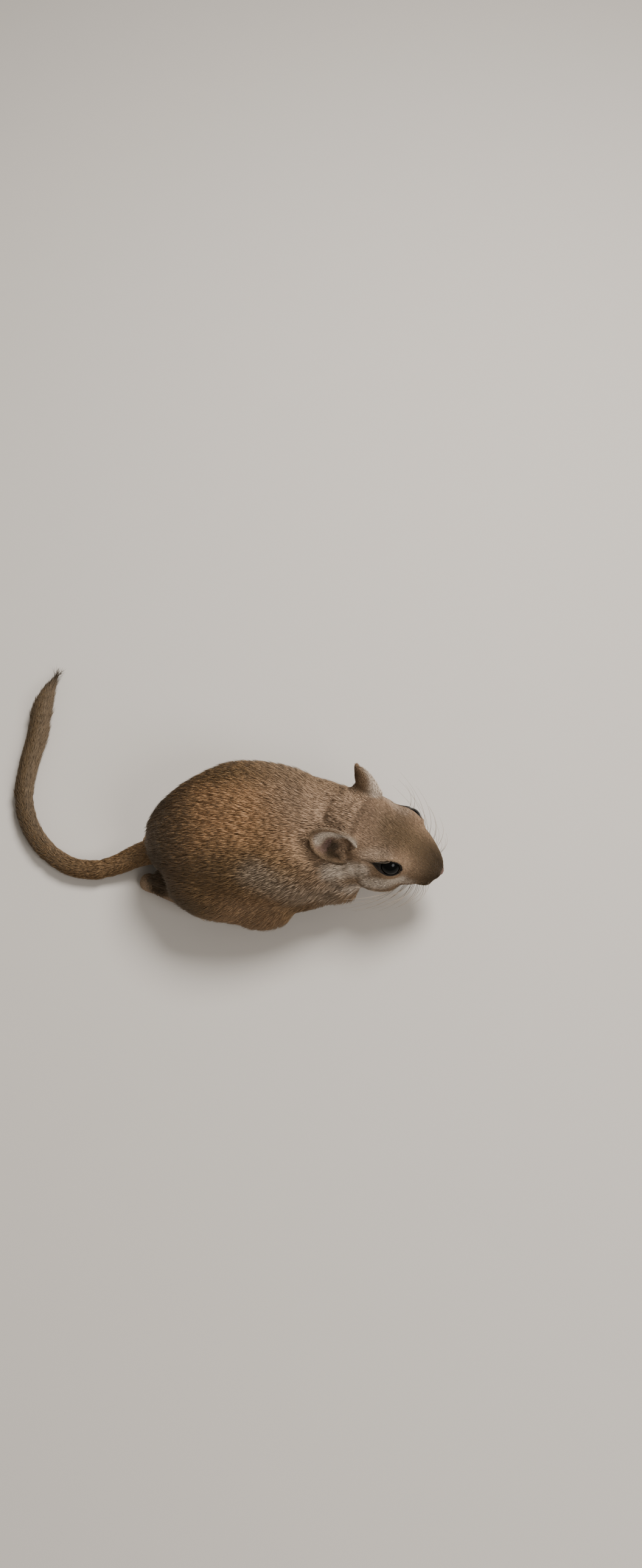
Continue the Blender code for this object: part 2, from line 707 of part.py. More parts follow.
def build():
    clear_scene()
    nodes = []

    # The flesh grows together twice: once with deep creases filled, then finely with the face added
    forms = [torso(), neck(), skull()]
    for side in SIDES:
        forms += hind_leg_forms(side) + fore_leg_forms(side)
    body = fuse("body", forms, BODY_VOXEL, 24)
    flesh = keep_largest(fuse("torso", [body, skull()] + face_forms(), FACE_VOXEL, 4))

    head = thin_out(part_from(flesh, "head", head_zone()), HEAD_TRIANGLES)
    thin_out(flesh, BODY_TRIANGLES)
    ears = [ear(side, flesh) for side in SIDES]
    carve_face(head)
    nodes.append(finish(head, "coat_head"))
    nodes += [finish(obj, "ear_skin") for obj in ears]
    for side in SIDES:
        eye = head_frame() @ mirrored(EYE_PLACE, side)
        ball = ellipsoid(f"eye_{side}", eye, (EYE_RADIUS,) * 3, None, 0, 18)
        nodes.append(finish(ball, "eye"))

    # What remains is parted where a person would name its pieces
    combine(flesh, head_zone(GAP), "DIFFERENCE")
    combine(flesh, tail_room(), "DIFFERENCE")
    for side in SIDES:
        combine(flesh, hind_foot_room(side), "DIFFERENCE")
        combine(flesh, fore_foot_room(side), "DIFFERENCE")
    trim_to_floor(flesh)
    nodes.append(finish(part_from(flesh, "neck", neck_zone()), "coat_head"))
    combine(flesh, neck_zone(GAP), "DIFFERENCE")
    for side in SIDES:
        for name, zone in (("thigh", thigh_zone), ("fore_leg", fore_leg_zone)):
            piece = part_from(flesh, f"{name}_{side}", zone(side))
            combine(flesh, zone(side, GAP), "DIFFERENCE")
            nodes.append(finish(piece, "coat_haunch"))
    nodes.append(finish(flesh, "coat_back"))

    for side in SIDES:
        nodes.append(finish(hind_foot(side), "foot_skin"))
        nodes.append(finish(fore_foot(side), "foot_skin"))
    for number in range(len(TAIL_PARTS) - 1):
        nodes.append(finish(tail_part(number), "coat_tail"))
    stand_at_origin(nodes)


build()
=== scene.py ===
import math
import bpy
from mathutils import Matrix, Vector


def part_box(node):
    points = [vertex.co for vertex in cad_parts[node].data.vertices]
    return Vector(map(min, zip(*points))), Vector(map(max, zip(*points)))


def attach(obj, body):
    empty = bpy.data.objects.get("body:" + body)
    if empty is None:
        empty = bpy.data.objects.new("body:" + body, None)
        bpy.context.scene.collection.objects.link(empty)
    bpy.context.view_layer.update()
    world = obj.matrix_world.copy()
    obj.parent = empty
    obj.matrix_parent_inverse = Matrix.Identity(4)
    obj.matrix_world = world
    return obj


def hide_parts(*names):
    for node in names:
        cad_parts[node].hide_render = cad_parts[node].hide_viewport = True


bl_info = {
    "name": "Gerbil",
    "version": (1, 0, 0),
    "blender": (4, 5, 0),
    "location": "View3D > Sidebar > Gerbil",
    "description": "Dresses the packed gerbil in skin, coat, eyes, whiskers and claws",
    "category": "Object",
}

import bmesh
import bpy
import numpy as np
from mathutils import Matrix, Vector, kdtree
from mathutils.bvhtree import BVHTree

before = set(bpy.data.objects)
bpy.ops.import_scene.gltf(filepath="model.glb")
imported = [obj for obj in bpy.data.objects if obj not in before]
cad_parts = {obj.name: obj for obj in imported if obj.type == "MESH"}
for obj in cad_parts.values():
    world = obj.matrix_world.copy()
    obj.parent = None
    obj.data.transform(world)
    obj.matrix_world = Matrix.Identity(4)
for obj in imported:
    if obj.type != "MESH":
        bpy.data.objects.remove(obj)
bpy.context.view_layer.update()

MM = 0.001
BODY = "root"
SIDES = {"left": 1, "right": -1}

# The head's own frame: its axes run forwards, left and up, in millimetres
HEAD_TURN = (
    Matrix.Rotation(math.radians(-24), 3, "Z")
    @ Matrix.Rotation(math.radians(9), 3, "Y")
    @ Matrix.Rotation(math.radians(-4), 3, "X")
)
EYE_PLACE = Vector((14.0, 9.0, 4.8))
EYE_OUT = Vector((0.24, 0.80, 0.55)).normalized()
EYE_LINE = Vector((0.96, -0.25, 0.1))
NOSE_PLACE = Vector((32.9, 0.0, -2.5))
NOSTRIL_PLACE = Vector((32.5, 1.25, -3.0))
WHISKER_PAD_PLACE = Vector((25.2, 4.0, -4.3))
EAR_PLACES = {"left": Vector((-5.5, 8.4, 7.5)), "right": Vector((-6.0, -11.2, 6.4))}
EAR_AXES = {"left": Vector((-0.28, 0.48, 0.62)), "right": Vector((-0.70, -0.44, 0.56))}
EAR_FACINGS = {"left": Vector((0.44, 0.86, 0.22)), "right": Vector((0.42, -0.66, 0.60))}
# How strongly each ear's front rim shows pale: partly pale hair, partly a painted highlight, strong on
# the left ear only.
EAR_RIM_PALE_AND_HIGHLIGHT = {"left": 1.0, "right": 0.2}
EAR_BAND = ((6.4, -1.0, 0), (5.4, 1.6, 0), (3.2, 3.2, 0), (0.5, 3.6, 0), (-1.5, 2.9, 0))
MOUTH = ((30.9, 0.0, -6.1), (29.6, 1.9, -6.8), (27.2, 3.7, -7.7), (24.4, 5.3, -8.6))
LIP_SPLIT = ((32.6, 0.0, -3.8), (30.8, 0.0, -6.0))
MOUTH_DEPTH = 0.5

# The opening between the lids, in millimetres from the eye's middle, and the lids' thickness
LID_FRONT, LID_REAR, LID_HEIGHT = 3.8, 6.0, 2.75
LID_THICKNESS = 0.35
EYE_BULGE = 0.16

# Feet, in millimetres: the middle of the ball, the way it points, how far it fans out,
# how wide it is, and where across it each toe stands and how long that toe is
FEET = {
    "hind_foot_left": ((-9.72, -9.62), 25, 13, 3.5, 1.15),
    "hind_foot_right": ((-9.72, -40.68), -25, 13, 3.5, 1.15),
    "fore_foot_left": ((47.91, -16.15), 0, 17, 2.5, 0.9),
    "fore_foot_right": ((40.87, -36.68), -8, 17, 2.5, 0.9),
}
TOES = {
    "hind_foot": ((-0.95, 5.4), (-0.45, 8.0), (0.0, 8.6), (0.45, 8.2), (1.0, 5.0)),
    "fore_foot": ((-0.9, 3.6), (-0.3, 4.7), (0.3, 4.7), (0.9, 3.7)),
}

# Coat on each kind of node: depth over the skin and length of hair in millimetres,
# hairs on a square millimetre, and a material slot's name
COATS = {
    "torso": (1.7, 5.6, 7.6, "coat_back"),
    "neck": (1.5, 4.6, 9.0, "coat_back"),
    "head": (0.8, 2.8, 19.0, "coat_head"),
    "ear": (0.0, 1.2, 15.0, "ear_skin"),
    "thigh": (1.6, 5.0, 8.0, "coat_haunch"),
    "fore_leg": (1.1, 3.2, 8.0, "coat_haunch"),
    "hind_foot": (0.2, 2.2, 13.0, "foot_skin"),
    "fore_foot": (0.12, 1.3, 14.0, "foot_skin"),
    "tail": (1.0, 3.4, 8.5, "coat_tail"),
}
MASKS = ("shoulder", "haunch", "pale", "dark", "bare", "rim")

# How far the nodes' copies grow before they are joined, in millimetres
SWELL, FACE_SWELL = 0.26, 0.42

# How far to the left the middle of the body lies, in millimetres
SPINE = -25.15

# The tail's line from the rump to its tip, measured from the middle of the footprint
TAIL_LINE = (
    (-17.9, -23.5, 13.5), (-30.4, -24.6, 6.4), (-37.4, -26.9, 4.4), (-45.4, -28.7, 3.8),
    (-54.9, -27.2, 3.7), (-64.4, -20.5, 3.7), (-71.4, -10.6, 3.7), (-74.7, 0.4, 3.7),
    (-74.5, 12.9, 3.7), (-72.7, 25.4, 3.8), (-72.1, 36.9, 3.8), (-70.5, 45.9, 3.4),
    (-68.1, 53.4, 2.4),
)


def middle(node):
    low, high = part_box(node)
    return (Vector(low) + Vector(high)) / 2


HEAD_ORIGIN = (middle("eye_left") + middle("eye_right")) / 2 - HEAD_TURN @ Vector(
    (EYE_PLACE.x, 0, EYE_PLACE.z)
) * MM


def srgb(red, green, blue):
    """A colour given as on a paint chart, 0 to 255, in linear light."""
    parts = [channel / 255 for channel in (red, green, blue)]
    return tuple(c / 12.92 if c <= 0.04045 else ((c + 0.055) / 1.055) ** 2.4 for c in parts)


def colour_property(name, description, red, green, blue):
    return bpy.props.FloatVectorProperty(
        name=name,
        description=description,
        subtype="COLOR",
        size=3,
        min=0.0,
        max=1.0,
        default=srgb(red, green, blue),
    )


def length_property(name, description, millimetres):
    return bpy.props.FloatProperty(
        name=name, description=description, unit="LENGTH", min=0.0, default=millimetres * MM
    )


class GerbilColours(bpy.types.PropertyGroup):
    back: colour_property("Back", "Golden brown of the back", 194, 147, 102)
    shoulder: colour_property("Shoulders", "Greyer beige of neck, shoulders and brow", 168, 138, 110)
    # The olive brown is also mixed in as painted shade on the sides and the muzzle.
    haunch: colour_property("Haunches", "Olive brown of the rump and low on the flanks", 118, 94, 62)
    # The cream is also painted as a highlight along the tail's inner side and on the left ear's front
    # rim.
    pale: colour_property("Pale fur", "Cream of the cheek stripes, belly and feet", 222, 204, 184)
    # The dark brown is also painted as shade on the rump, the sides and the muzzle, behind the neck
    # and the near ear, round the ears' openings and pits, and along the tail's outer side.
    dark: colour_property("Dark fur", "Dark brown of the ticking and of the tail's streak", 46, 33, 16)
    bare: colour_property("Bare skin", "Grey pink inside the ears and on the nose", 118, 92, 82)
    # The lids' dark is also painted as shade in the nostrils and along the mouth's crease.
    lid: colour_property("Lids", "Dark rim of the eye", 16, 12, 10)
    eye: colour_property("Eye", "Almost black eye", 5, 5, 5)
    claw: colour_property("Claws", "Horn of the claws", 196, 176, 150)
    whisker: colour_property("Whiskers", "Pale brown whiskers", 150, 132, 112)
    floor: colour_property("Floor", "Plain pale floor", 196, 188, 178)


class GerbilSizes(bpy.types.PropertyGroup):
    skin_grain: length_property("Skin grain", "Side of the skin's faces", 0.42)
    hair_width: length_property("Hair width", "Width of a lock of hair on the back", 0.26)
    eye_radius: length_property("Eye radius", "Radius of the eyeball", 3.9)
    whisker_length: length_property("Whisker length", "Longest whisker", 21.0)
    lens: bpy.props.FloatProperty(
        name="Lens", description="Focal length for a 36 mm sensor on the long side", default=25.64
    )


class Wire:
    """A socket of a material, so that shader maths is written as Python."""

    def __init__(self, finish, socket):
        self.finish = finish
        self.socket = socket

    def maths(self, operation, first, second):
        return self.finish.node("ShaderNodeMath", {"operation": operation}, {0: first, 1: second})

    def __add__(self, other):
        return self.maths("ADD", self, other)

    def __radd__(self, other):
        return self.maths("ADD", other, self)

    def __sub__(self, other):
        return self.maths("SUBTRACT", self, other)

    def __rsub__(self, other):
        return self.maths("SUBTRACT", other, self)

    def __mul__(self, other):
        return self.maths("MULTIPLY", self, other)

    def __rmul__(self, other):
        return self.maths("MULTIPLY", other, self)

    def __pow__(self, other):
        return self.maths("POWER", self, other)


class Finish:
    """One material, built up node by node."""

    def __init__(self, name):
        self.material = bpy.data.materials.new(name)
        self.material.use_nodes = True
        self.tree = self.material.node_tree
        self.tree.nodes.clear()

    def node(self, kind, settings, values, output=0):
        made = self.tree.nodes.new(kind)
        for key, value in settings.items():
            if key == "stops":
                ramp = made.color_ramp
                while len(ramp.elements) < len(value):
                    ramp.elements.new(1.0)
                for element, (place, colour) in zip(ramp.elements, value):
                    element.position = place
                    element.color = (*colour, 1.0)
            else:
                setattr(made, key, value)
        for key, value in values.items():
            socket = made.inputs[key]
            if isinstance(value, Wire):
                self.tree.links.new(value.socket, socket)
            else:
                socket.default_value = value
        return Wire(self, made.outputs[output]) if made.outputs else None

    def mask(self, name):
        """A number that the mesh holds at each point."""
        return self.node("ShaderNodeAttribute", {"attribute_name": name}, {}, "Fac")

    def mix(self, share, first, second):
        """One colour fading to another."""
        first = first if isinstance(first, Wire) else (*first, 1.0)
        second = second if isinstance(second, Wire) else (*second, 1.0)
        settings = {"data_type": "RGBA"}
        return self.node("ShaderNodeMix", settings, {0: share, 6: first, 7: second}, 2)

    def scaled(self, colour, factor):
        """A colour made lighter or darker."""
        values = {"Vector": colour, "Scale": factor}
        return self.node("ShaderNodeVectorMath", {"operation": "SCALE"}, values)

    def speckle(self, scale, detail=3.0):
        """Noise from 0 to 1, fixed to the object."""
        place = self.node("ShaderNodeTexCoord", {}, {}, "Object")
        values = {"Vector": place, "Scale": scale, "Detail": detail}
        return self.node("ShaderNodeTexNoise", {}, values, 0)

    def fade(self, value, low, high):
        """Rises smoothly from 0 to 1 as the value goes from low to high."""
        values = {"Value": value, "From Min": low, "From Max": high}
        settings = {"interpolation_type": "SMOOTHSTEP"}
        return self.node("ShaderNodeMapRange", settings, values)

    def bump(self, height, distance, strength=1.0):
        values = {"Height": height, "Distance": distance, "Strength": strength}
        return self.node("ShaderNodeBump", {}, values)

    def surface(self, **values):
        """The shader that ends the material."""
        named = {key.replace("_", " ").title(): value for key, value in values.items()}
        named = {"IOR" if key == "Ior" else key: value for key, value in named.items()}
        named = {key.replace("Ior", "IOR"): value for key, value in named.items()}
        for key, value in named.items():
            if key.endswith(("Color", "Tint")) and not isinstance(value, Wire):
                named[key] = (*value, 1.0)
        shader = self.node("ShaderNodeBsdfPrincipled", {}, named)
        self.node("ShaderNodeOutputMaterial", {}, {"Surface": shader})
        return self.material


def markings(finish, colours):
    """The coat's colours over the body, with their painted shade and highlights, the same on skin and
    hair.
    """
    blotch = finish.speckle(160.0)
    back = finish.mix(blotch * 0.5, tuple(colours.back), tuple(colours.haunch))
    coat = finish.mix(finish.mask("shoulder"), back, tuple(colours.shoulder))
    coat = finish.mix(finish.mask("haunch"), coat, tuple(colours.haunch))
    coat = finish.mix(finish.mask("pale"), coat, tuple(colours.pale))
    coat = finish.mix(finish.mask("dark"), coat, tuple(colours.dark))
    return finish.mix(finish.mask("rim"), coat, tuple(colours.lid))


def skin_finish(colours):
    finish = Finish("skin")
    coat = markings(finish, colours)
    ticking = finish.fade(finish.speckle(1500.0, 2.0), 0.45, 0.75)
    coat = finish.mix(ticking * 0.45, coat, tuple(colours.dark))
    pores = finish.speckle(2600.0, 2.0)
    flesh = finish.mix(pores * 0.6, tuple(colours.bare), tuple(c * 0.55 for c in colours.bare))
    colour = finish.mix(finish.mask("bare") * (1 - finish.mask("rim")), coat, flesh)
    grain = finish.bump(finish.speckle(1800.0, 4.0), 0.25 * MM, 0.6)
    return finish.surface(base_color=colour, roughness=0.7, normal=grain, specular_ior_level=0.2)


def coat_finish(name, colours, ticking=1.0):
    """Ticked hair: dark at the root, partly its grey base and partly painted shade among the roots,
    golden along its length, and dark at some of the tips.
    """
    finish = Finish(name)
    coat = markings(finish, colours)
    along = finish.mask("along")
    shade = finish.mask("shade")
    toned = finish.scaled(coat, 0.82 + shade * 0.42)
    # Darker towards the root: the hair's grey base and painted shade among the roots.
    rooted_and_shaded = finish.scaled(toned, 0.42 + finish.fade(along, 0.0, 0.65) * 0.58)
    guard = finish.fade(shade, 0.66, 0.9) * finish.fade(along, 0.4, 0.95)
    guard = guard * (1 - finish.mask("pale") * 0.85)
    ticked = finish.mix(guard * (0.75 * ticking), rooted_and_shaded, tuple(colours.dark))
    return finish.surface(
        base_color=ticked,
        roughness=0.55,
        specular_ior_level=0.25,
        sheen_weight=0.1,
        sheen_roughness=0.4,
        sheen_tint=(1.0, 0.86, 0.68),
    )


def eye_finish(colours):
    finish = Finish("eye")
    shell = finish.speckle(90.0)
    colour = finish.mix(shell * 0.5, tuple(colours.eye), tuple(c * 2 for c in colours.eye))
    return finish.surface(base_color=colour, roughness=0.08 + shell * 0.04, specular_ior_level=0.11)


def lid_finish(colours):
    finish = Finish("lid")
    wet = finish.speckle(1400.0)
    colour = finish.mix(wet, tuple(colours.lid), tuple(c * 2.4 for c in colours.lid))
    return finish.surface(base_color=colour, roughness=0.5 + wet * 0.3, specular_ior_level=0.2)


def horn_finish(colours):
    finish = Finish("claw")
    streak = finish.speckle(900.0)
    colour = finish.mix(streak * 0.7, tuple(colours.claw), tuple(c * 0.4 for c in colours.claw))
    return finish.surface(base_color=colour, roughness=0.3 + streak * 0.15)


def whisker_finish(colours):
    finish = Finish("whisker")
    dark = tuple(c * 0.25 for c in colours.whisker)
    colour = finish.mix(finish.fade(finish.mask("along"), 0.0, 0.6), dark, tuple(colours.whisker))
    return finish.surface(base_color=colour, roughness=0.4)


def floor_finish(colours):
    finish = Finish("floor")
    grain = finish.speckle(60.0)
    tone = tuple(colours.floor)
    colour = finish.mix(grain * 0.25, tone, tuple(c * 0.93 for c in tone))
    return finish.surface(base_color=colour, roughness=0.85)


def mesh_from(name, points, corners, counts):
    """A mesh from arrays: points, the point at each face corner, and the corners of each face."""
    mesh = bpy.data.meshes.new(name)
    mesh.vertices.add(len(points))
    mesh.vertices.foreach_set("co", np.ascontiguousarray(points, np.float32).ravel())
    mesh.loops.add(len(corners))
    mesh.loops.foreach_set("vertex_index", np.ascontiguousarray(corners, np.int32))
    mesh.polygons.add(len(counts))
    starts = np.concatenate(([0], np.cumsum(counts)[:-1])).astype(np.int32)
    mesh.polygons.foreach_set("loop_start", starts)
    mesh.update(calc_edges=True)
    return mesh


def add_object(name, mesh, material):
    """Puts a mesh in the scene, smooth, riding on the body."""
    obj = bpy.data.objects.new(name, mesh)
    bpy.context.scene.collection.objects.link(obj)
    mesh.materials.clear()
    mesh.materials.append(material)
    mesh.shade_smooth()
    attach(obj, BODY)
    return obj


def set_numbers(mesh, name, values):
    """Stores one number, or one vector, at each point of the mesh."""
    kind, field = ("FLOAT", "value") if values.ndim == 1 else ("FLOAT_VECTOR", "vector")
    layer = mesh.attributes.get(name) or mesh.attributes.new(name, kind, "POINT")
    layer.data.foreach_set(field, np.ascontiguousarray(values, np.float32).ravel())


def get_numbers(mesh, name, width=1):
    layer = mesh.attributes[name]
    values = np.empty(len(mesh.vertices) * width, np.float32)
    layer.data.foreach_get("value" if width == 1 else "vector", values)
    return values if width == 1 else values.reshape(-1, width)


def get_points(mesh):
    values = np.empty(len(mesh.vertices) * 3, np.float32)
    mesh.vertices.foreach_get("co", values)
    return values.reshape(-1, 3).astype(np.float64)


def get_normals(mesh):
    values = np.empty(len(mesh.vertices) * 3, np.float32)
    mesh.vertex_normals.foreach_get("vector", values)
    return values.reshape(-1, 3).astype(np.float64)


def set_points(mesh, points):
    mesh.vertices.foreach_set("co", np.ascontiguousarray(points, np.float32).ravel())
    mesh.update()


def units(vectors):
    return vectors / np.maximum(np.linalg.norm(vectors, axis=-1, keepdims=True), 1e-12)


def flattened(vectors, normals):
    """The vectors laid into the surface, at length one."""
    return units(vectors - normals * np.sum(vectors * normals, axis=1, keepdims=True))


def smooth_step(values, low, high):
    share = np.clip((values - low) / (high - low), 0.0, 1.0)
    return share * share * (3 - 2 * share)


class Web:
    """Which points of a mesh are neighbours, so that values can spread over its surface."""

    def __init__(self, mesh):
        edges = np.empty(len(mesh.edges) * 2, np.int32)
        mesh.edges.foreach_get("vertices", edges)
        edges = edges.reshape(-1, 2)
        self.here = np.concatenate([edges[:, 0], edges[:, 1]])
        self.there = np.concatenate([edges[:, 1], edges[:, 0]])
        self.count = len(mesh.vertices)
        self.share = np.bincount(self.here, minlength=self.count).clip(1)

    def average(self, values):
        if values.ndim == 1:
            total = np.bincount(self.here, values[self.there], self.count)
            return total / self.share
        return np.stack([self.average(column) for column in values.T], axis=1)

    def spread(self, values, rounds, weights=None):
        """Each round moves a value halfway to its neighbours' mean, as far as its weight allows."""
        move = 0.5 if weights is None else 0.5 * weights
        for _ in range(rounds):
            values = values + (self.average(values) - values) * move
        return values


def kind_of(node):
    return node.replace("_left", "").replace("_right", "").rstrip("_12345")


def flesh_nodes():
    return sorted(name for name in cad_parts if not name.startswith("eye"))


def toe_tips(foot):
    """Where each toe of a foot ends, and which way it points."""
    (x, y), turn, fan, width, thickness = FEET[foot]
    heading = Matrix.Rotation(math.radians(turn), 3, "Z")
    tips = []
    for place, length in TOES[kind_of(foot)]:
        root = heading @ Vector((-0.6, place * width * 0.72, 0))
        way = Matrix.Rotation(math.radians(turn + fan * place), 3, "Z") @ Vector((1, 0, 0))
        tips.append(((Vector((x, y, thickness)) + root + way * length) * MM, way))
    return tips


def welded_copy(node, swell):
    """A node's mesh with its split corners joined, grown a little, and with no claws."""
    bm = bmesh.new()
    bm.from_mesh(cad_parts[node].data)
    bmesh.ops.remove_doubles(bm, verts=bm.verts, dist=1e-6)
    bm.normal_update()
    for vert in bm.verts:
        vert.co += vert.normal * swell
    if node in FEET:
        for tip, way in toe_tips(node):
            for vert in bm.verts:
                away = vert.co - tip
                past = away.dot(way)
                if past > 0 and (away - way * past).length < 1.5 * MM:
                    vert.co -= way * past
    return bm


def joined_flesh(swell, face_swell, dome):
    """Every node of flesh in one mesh, grown so that they meet, with a dome over each eye."""
    mesh = bpy.data.meshes.new("flesh")
    bm = bmesh.new()
    for node in flesh_nodes():
        part = welded_copy(node, face_swell if node == "head" else swell)
        part.to_mesh(mesh)
        part.free()
        bm.from_mesh(mesh)
    for side in SIDES:
        place = Matrix.Translation(middle(f"eye_{side}"))
        bmesh.ops.create_icosphere(bm, subdivisions=4, radius=dome, matrix=place)
    bm.to_mesh(mesh)
    bm.free()
    return mesh


def remeshed(mesh, voxel):
    obj = bpy.data.objects.new("remesh", mesh)
    bpy.context.scene.collection.objects.link(obj)
    remesh = obj.modifiers.new("remesh", "REMESH")
    remesh.mode = "VOXEL"
    remesh.voxel_size = voxel
    remesh.adaptivity = 0.0
    graph = bpy.context.evaluated_depsgraph_get()
    made = bpy.data.meshes.new_from_object(obj.evaluated_get(graph))
    bpy.data.objects.remove(obj)
    return made


def keep_largest(mesh):
    """Drops the sealed shells that the gaps between the nodes can leave inside."""
    bm = bmesh.new()
    bm.from_mesh(mesh)
    bm.verts.ensure_lookup_table()
    seen = [False] * len(bm.verts)
    best = []
    for start in bm.verts:
        if seen[start.index]:
            continue
        island = [start]
        seen[start.index] = True
        for vert in island:
            for edge in vert.link_edges:
                other = edge.other_vert(vert)
                if not seen[other.index]:
                    seen[other.index] = True
                    island.append(other)
        if len(island) > len(best):
            best = island
    kept = {vert.index for vert in best}
    bmesh.ops.delete(bm, geom=[v for v in bm.verts if v.index not in kept], context="VERTS")
    bm.to_mesh(mesh)
    bm.free()


def nearest_kinds(points):
    """The kind and side of the node that lies nearest to each point."""
    names = flesh_nodes()
    parts = [(name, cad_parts[name].data.vertices) for name in names]
    tree = kdtree.KDTree(sum(len(vertices) for _, vertices in parts))
    count = 0
    for number, (_, vertices) in enumerate(parts):
        for vertex in vertices:
            tree.insert(vertex.co, count)
            count += 1
    owner = np.concatenate([np.full(len(v), n) for n, (_, v) in enumerate(parts)])
    tree.balance()
    found = np.array([owner[tree.find(Vector(point))[1]] for point in points])
    ears = [number for number, name in enumerate(names) if name.startswith("ear")]
    for number in ears:
        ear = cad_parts[names[number]].data
        sheet = BVHTree.FromPolygons(
            [vertex.co for vertex in ear.vertices], [face.vertices for face in ear.polygons]
        )
        for index in np.flatnonzero(found == number):
            point = Vector(points[index])
            if sheet.find_nearest(point)[3] > 0.75 * MM:
                near = tree.find_n(point, 400)
                others = [owner[place] for _, place, _ in near if owner[place] not in ears]
                found[index] = others[0] if others else number
    return names, found


def in_head(points):
    """Points in the head's frame, in millimetres."""
    turn = np.array(HEAD_TURN)
    return (points - np.array(HEAD_ORIGIN)) @ turn / MM


def from_head(vector):
    return HEAD_ORIGIN + HEAD_TURN @ Vector(vector) * MM


def near_line(points, line):
    """Distance from each point to a bent line, and how far along it that is from 0 to 1."""
    line = np.array(line, float)
    best = np.full(len(points), 1e9)
    share = np.zeros(len(points))
    steps = len(line) - 1
    for number in range(steps):
        start, way = line[number], line[number + 1] - line[number]
        place = np.clip((points - start) @ way / (way @ way), 0, 1)
        distance = np.linalg.norm(points - start - place[:, None] * way, axis=1)
        closer = distance < best
        best[closer] = distance[closer]
        share[closer] = (number + place[closer]) / steps
    return best, share


def line_way(line, share):
    """The direction of a bent line at each share of its length."""
    line = np.array(line, float)
    ways = units(np.diff(line, axis=0))
    steps = len(ways)
    place = np.clip(share * steps - 0.5, 0, steps - 1.001)
    low = place.astype(int)
    part = (place - low)[:, None]
    return units(ways[low] * (1 - part) + ways[np.minimum(low + 1, steps - 1)] * part)


def mirrored(point, side):
    return Vector((point[0], point[1] * SIDES[side], point[2]))


def coat_lie(points, normals, names, found, web):
    """The way that the coat lies: from the nose back over the body, and out along each limb."""
    ways = np.zeros_like(points)
    head = in_head(points)
    turn = np.array(HEAD_TURN)
    for number, name in enumerate(names):
        here = found == number
        kind = kind_of(name)
        side = "left" if name.endswith("left") else "right"
        if kind == "torso":
            ways[here] = (-1.0, 0.0, -0.22)
        elif kind == "neck":
            ways[here] = turn @ (-0.7, 0.0, -0.1) + np.array((-0.5, 0.0, -0.2))
        elif kind == "head":
            from_nose = units(head[here] - np.array((34.0, 0.0, -1.5)))
            ways[here] = (from_nose + np.array((-0.7, 0.0, -0.05))) @ turn.T
        elif kind == "ear":
            ways[here] = turn @ np.array(EAR_AXES[side])
        elif kind == "thigh":
            ways[here] = (-0.85, 0.0, -0.5)
        elif kind == "fore_leg":
            ways[here] = (-0.35, 0.0, -1.0)
        elif kind in ("hind_foot", "fore_foot"):
            ways[here] = (1.0, 0.3 * SIDES[side], -0.1)
        else:
            _, share = near_line(points[here] / MM, TAIL_LINE)
            ways[here] = line_way(TAIL_LINE, share)
    ways = flattened(ways, normals)
    return flattened(web.spread(ways, 60), normals)


def spot(points, centre, inner, outer):
    """One at the middle of a round mark, fading to nothing at its edge."""
    return 1 - smooth_step(np.linalg.norm(points - np.array(centre), axis=1), inner, outer)


def stripe(points, line, inner, outer):
    return 1 - smooth_step(near_line(points, line)[0], inner, outer)


def body_markings(place, normals):
    """Golden back, greyer shoulders, olive haunches, cream belly and dark rump; the rump, the sides
    and a band behind the neck also carry painted shade.
    """
    down = -normals[:, 2]
    height = place[:, 2]
    spine = np.abs(place[:, 1] - SPINE)
    forward = smooth_step(place[:, 0] + 0.35 * (place[:, 1] + 25), 12, 34)
    # The rump is dark partly from its olive fur and partly from painted shade, which deepens away from
    # the spine.
    rump = 0.55 * smooth_step(-place[:, 0], 0, 8) + 0.4 * smooth_step(-place[:, 0], 7, 18)
    rump *= 0.86 + 0.14 * smooth_step(spine, 3, 12)
    knee = spot(np.stack([place[:, 0], spine, height], axis=1), (14.0, 25.0, 20.0), 5.0, 20.0)
    # Olive low on the sides, and painted shade that darkens the sides away from the spine.
    flank_olive_and_shade = np.maximum(0.75 * smooth_step(spine, 6, 17), smooth_step(38 - height, 0, 14))
    # A band of painted shade in the fold behind the neck.
    neck_fold_shade = stripe(place, ((27.5, -14.0, 39.0), (25.5, -26.0, 42.5), (15.5, -38.5, 41.0)), 1.0, 6.0)
    neck = stripe(place, ((16.5, -42.5, 38.0), (30.0, -45.5, 28.0), (41.0, -43.5, 20.0)), 1.0, 7.5)
    belly = smooth_step(down, 0.3, 0.85) * smooth_step(14 - height, 0, 8)
    return {
        "shoulder": np.max([forward, 0.7 * neck, 0.35 * knee], axis=0),
        "haunch": np.maximum(flank_olive_and_shade * (1 - 0.55 * forward) * (1 - 0.6 * knee), rump),
        "pale": np.max([belly, 0.27 * neck, 0.05 * knee], axis=0),
        "dark": np.max([0.74 * rump, 0.22 * neck_fold_shade, 0.1 * flank_olive_and_shade * (1 - knee)], axis=0),
        "bare": np.zeros(len(place)),
        "rim": np.zeros(len(place)),
    }


def nostril_gap(head):
    """How far points are from a nostril, as a share of its size."""
    away = both_sides(head) - np.array(NOSTRIL_PLACE)
    return np.linalg.norm(away / (1.4, 0.85, 0.8), axis=1)


def lip_gap(head):
    """How far points are from the bottom of the mouth's crease or the split of the lip."""
    folded = both_sides(head)
    gap = np.minimum(near_line(folded, MOUTH)[0], near_line(folded, LIP_SPLIT)[0])
    return np.maximum(gap - MOUTH_DEPTH, 0.0)


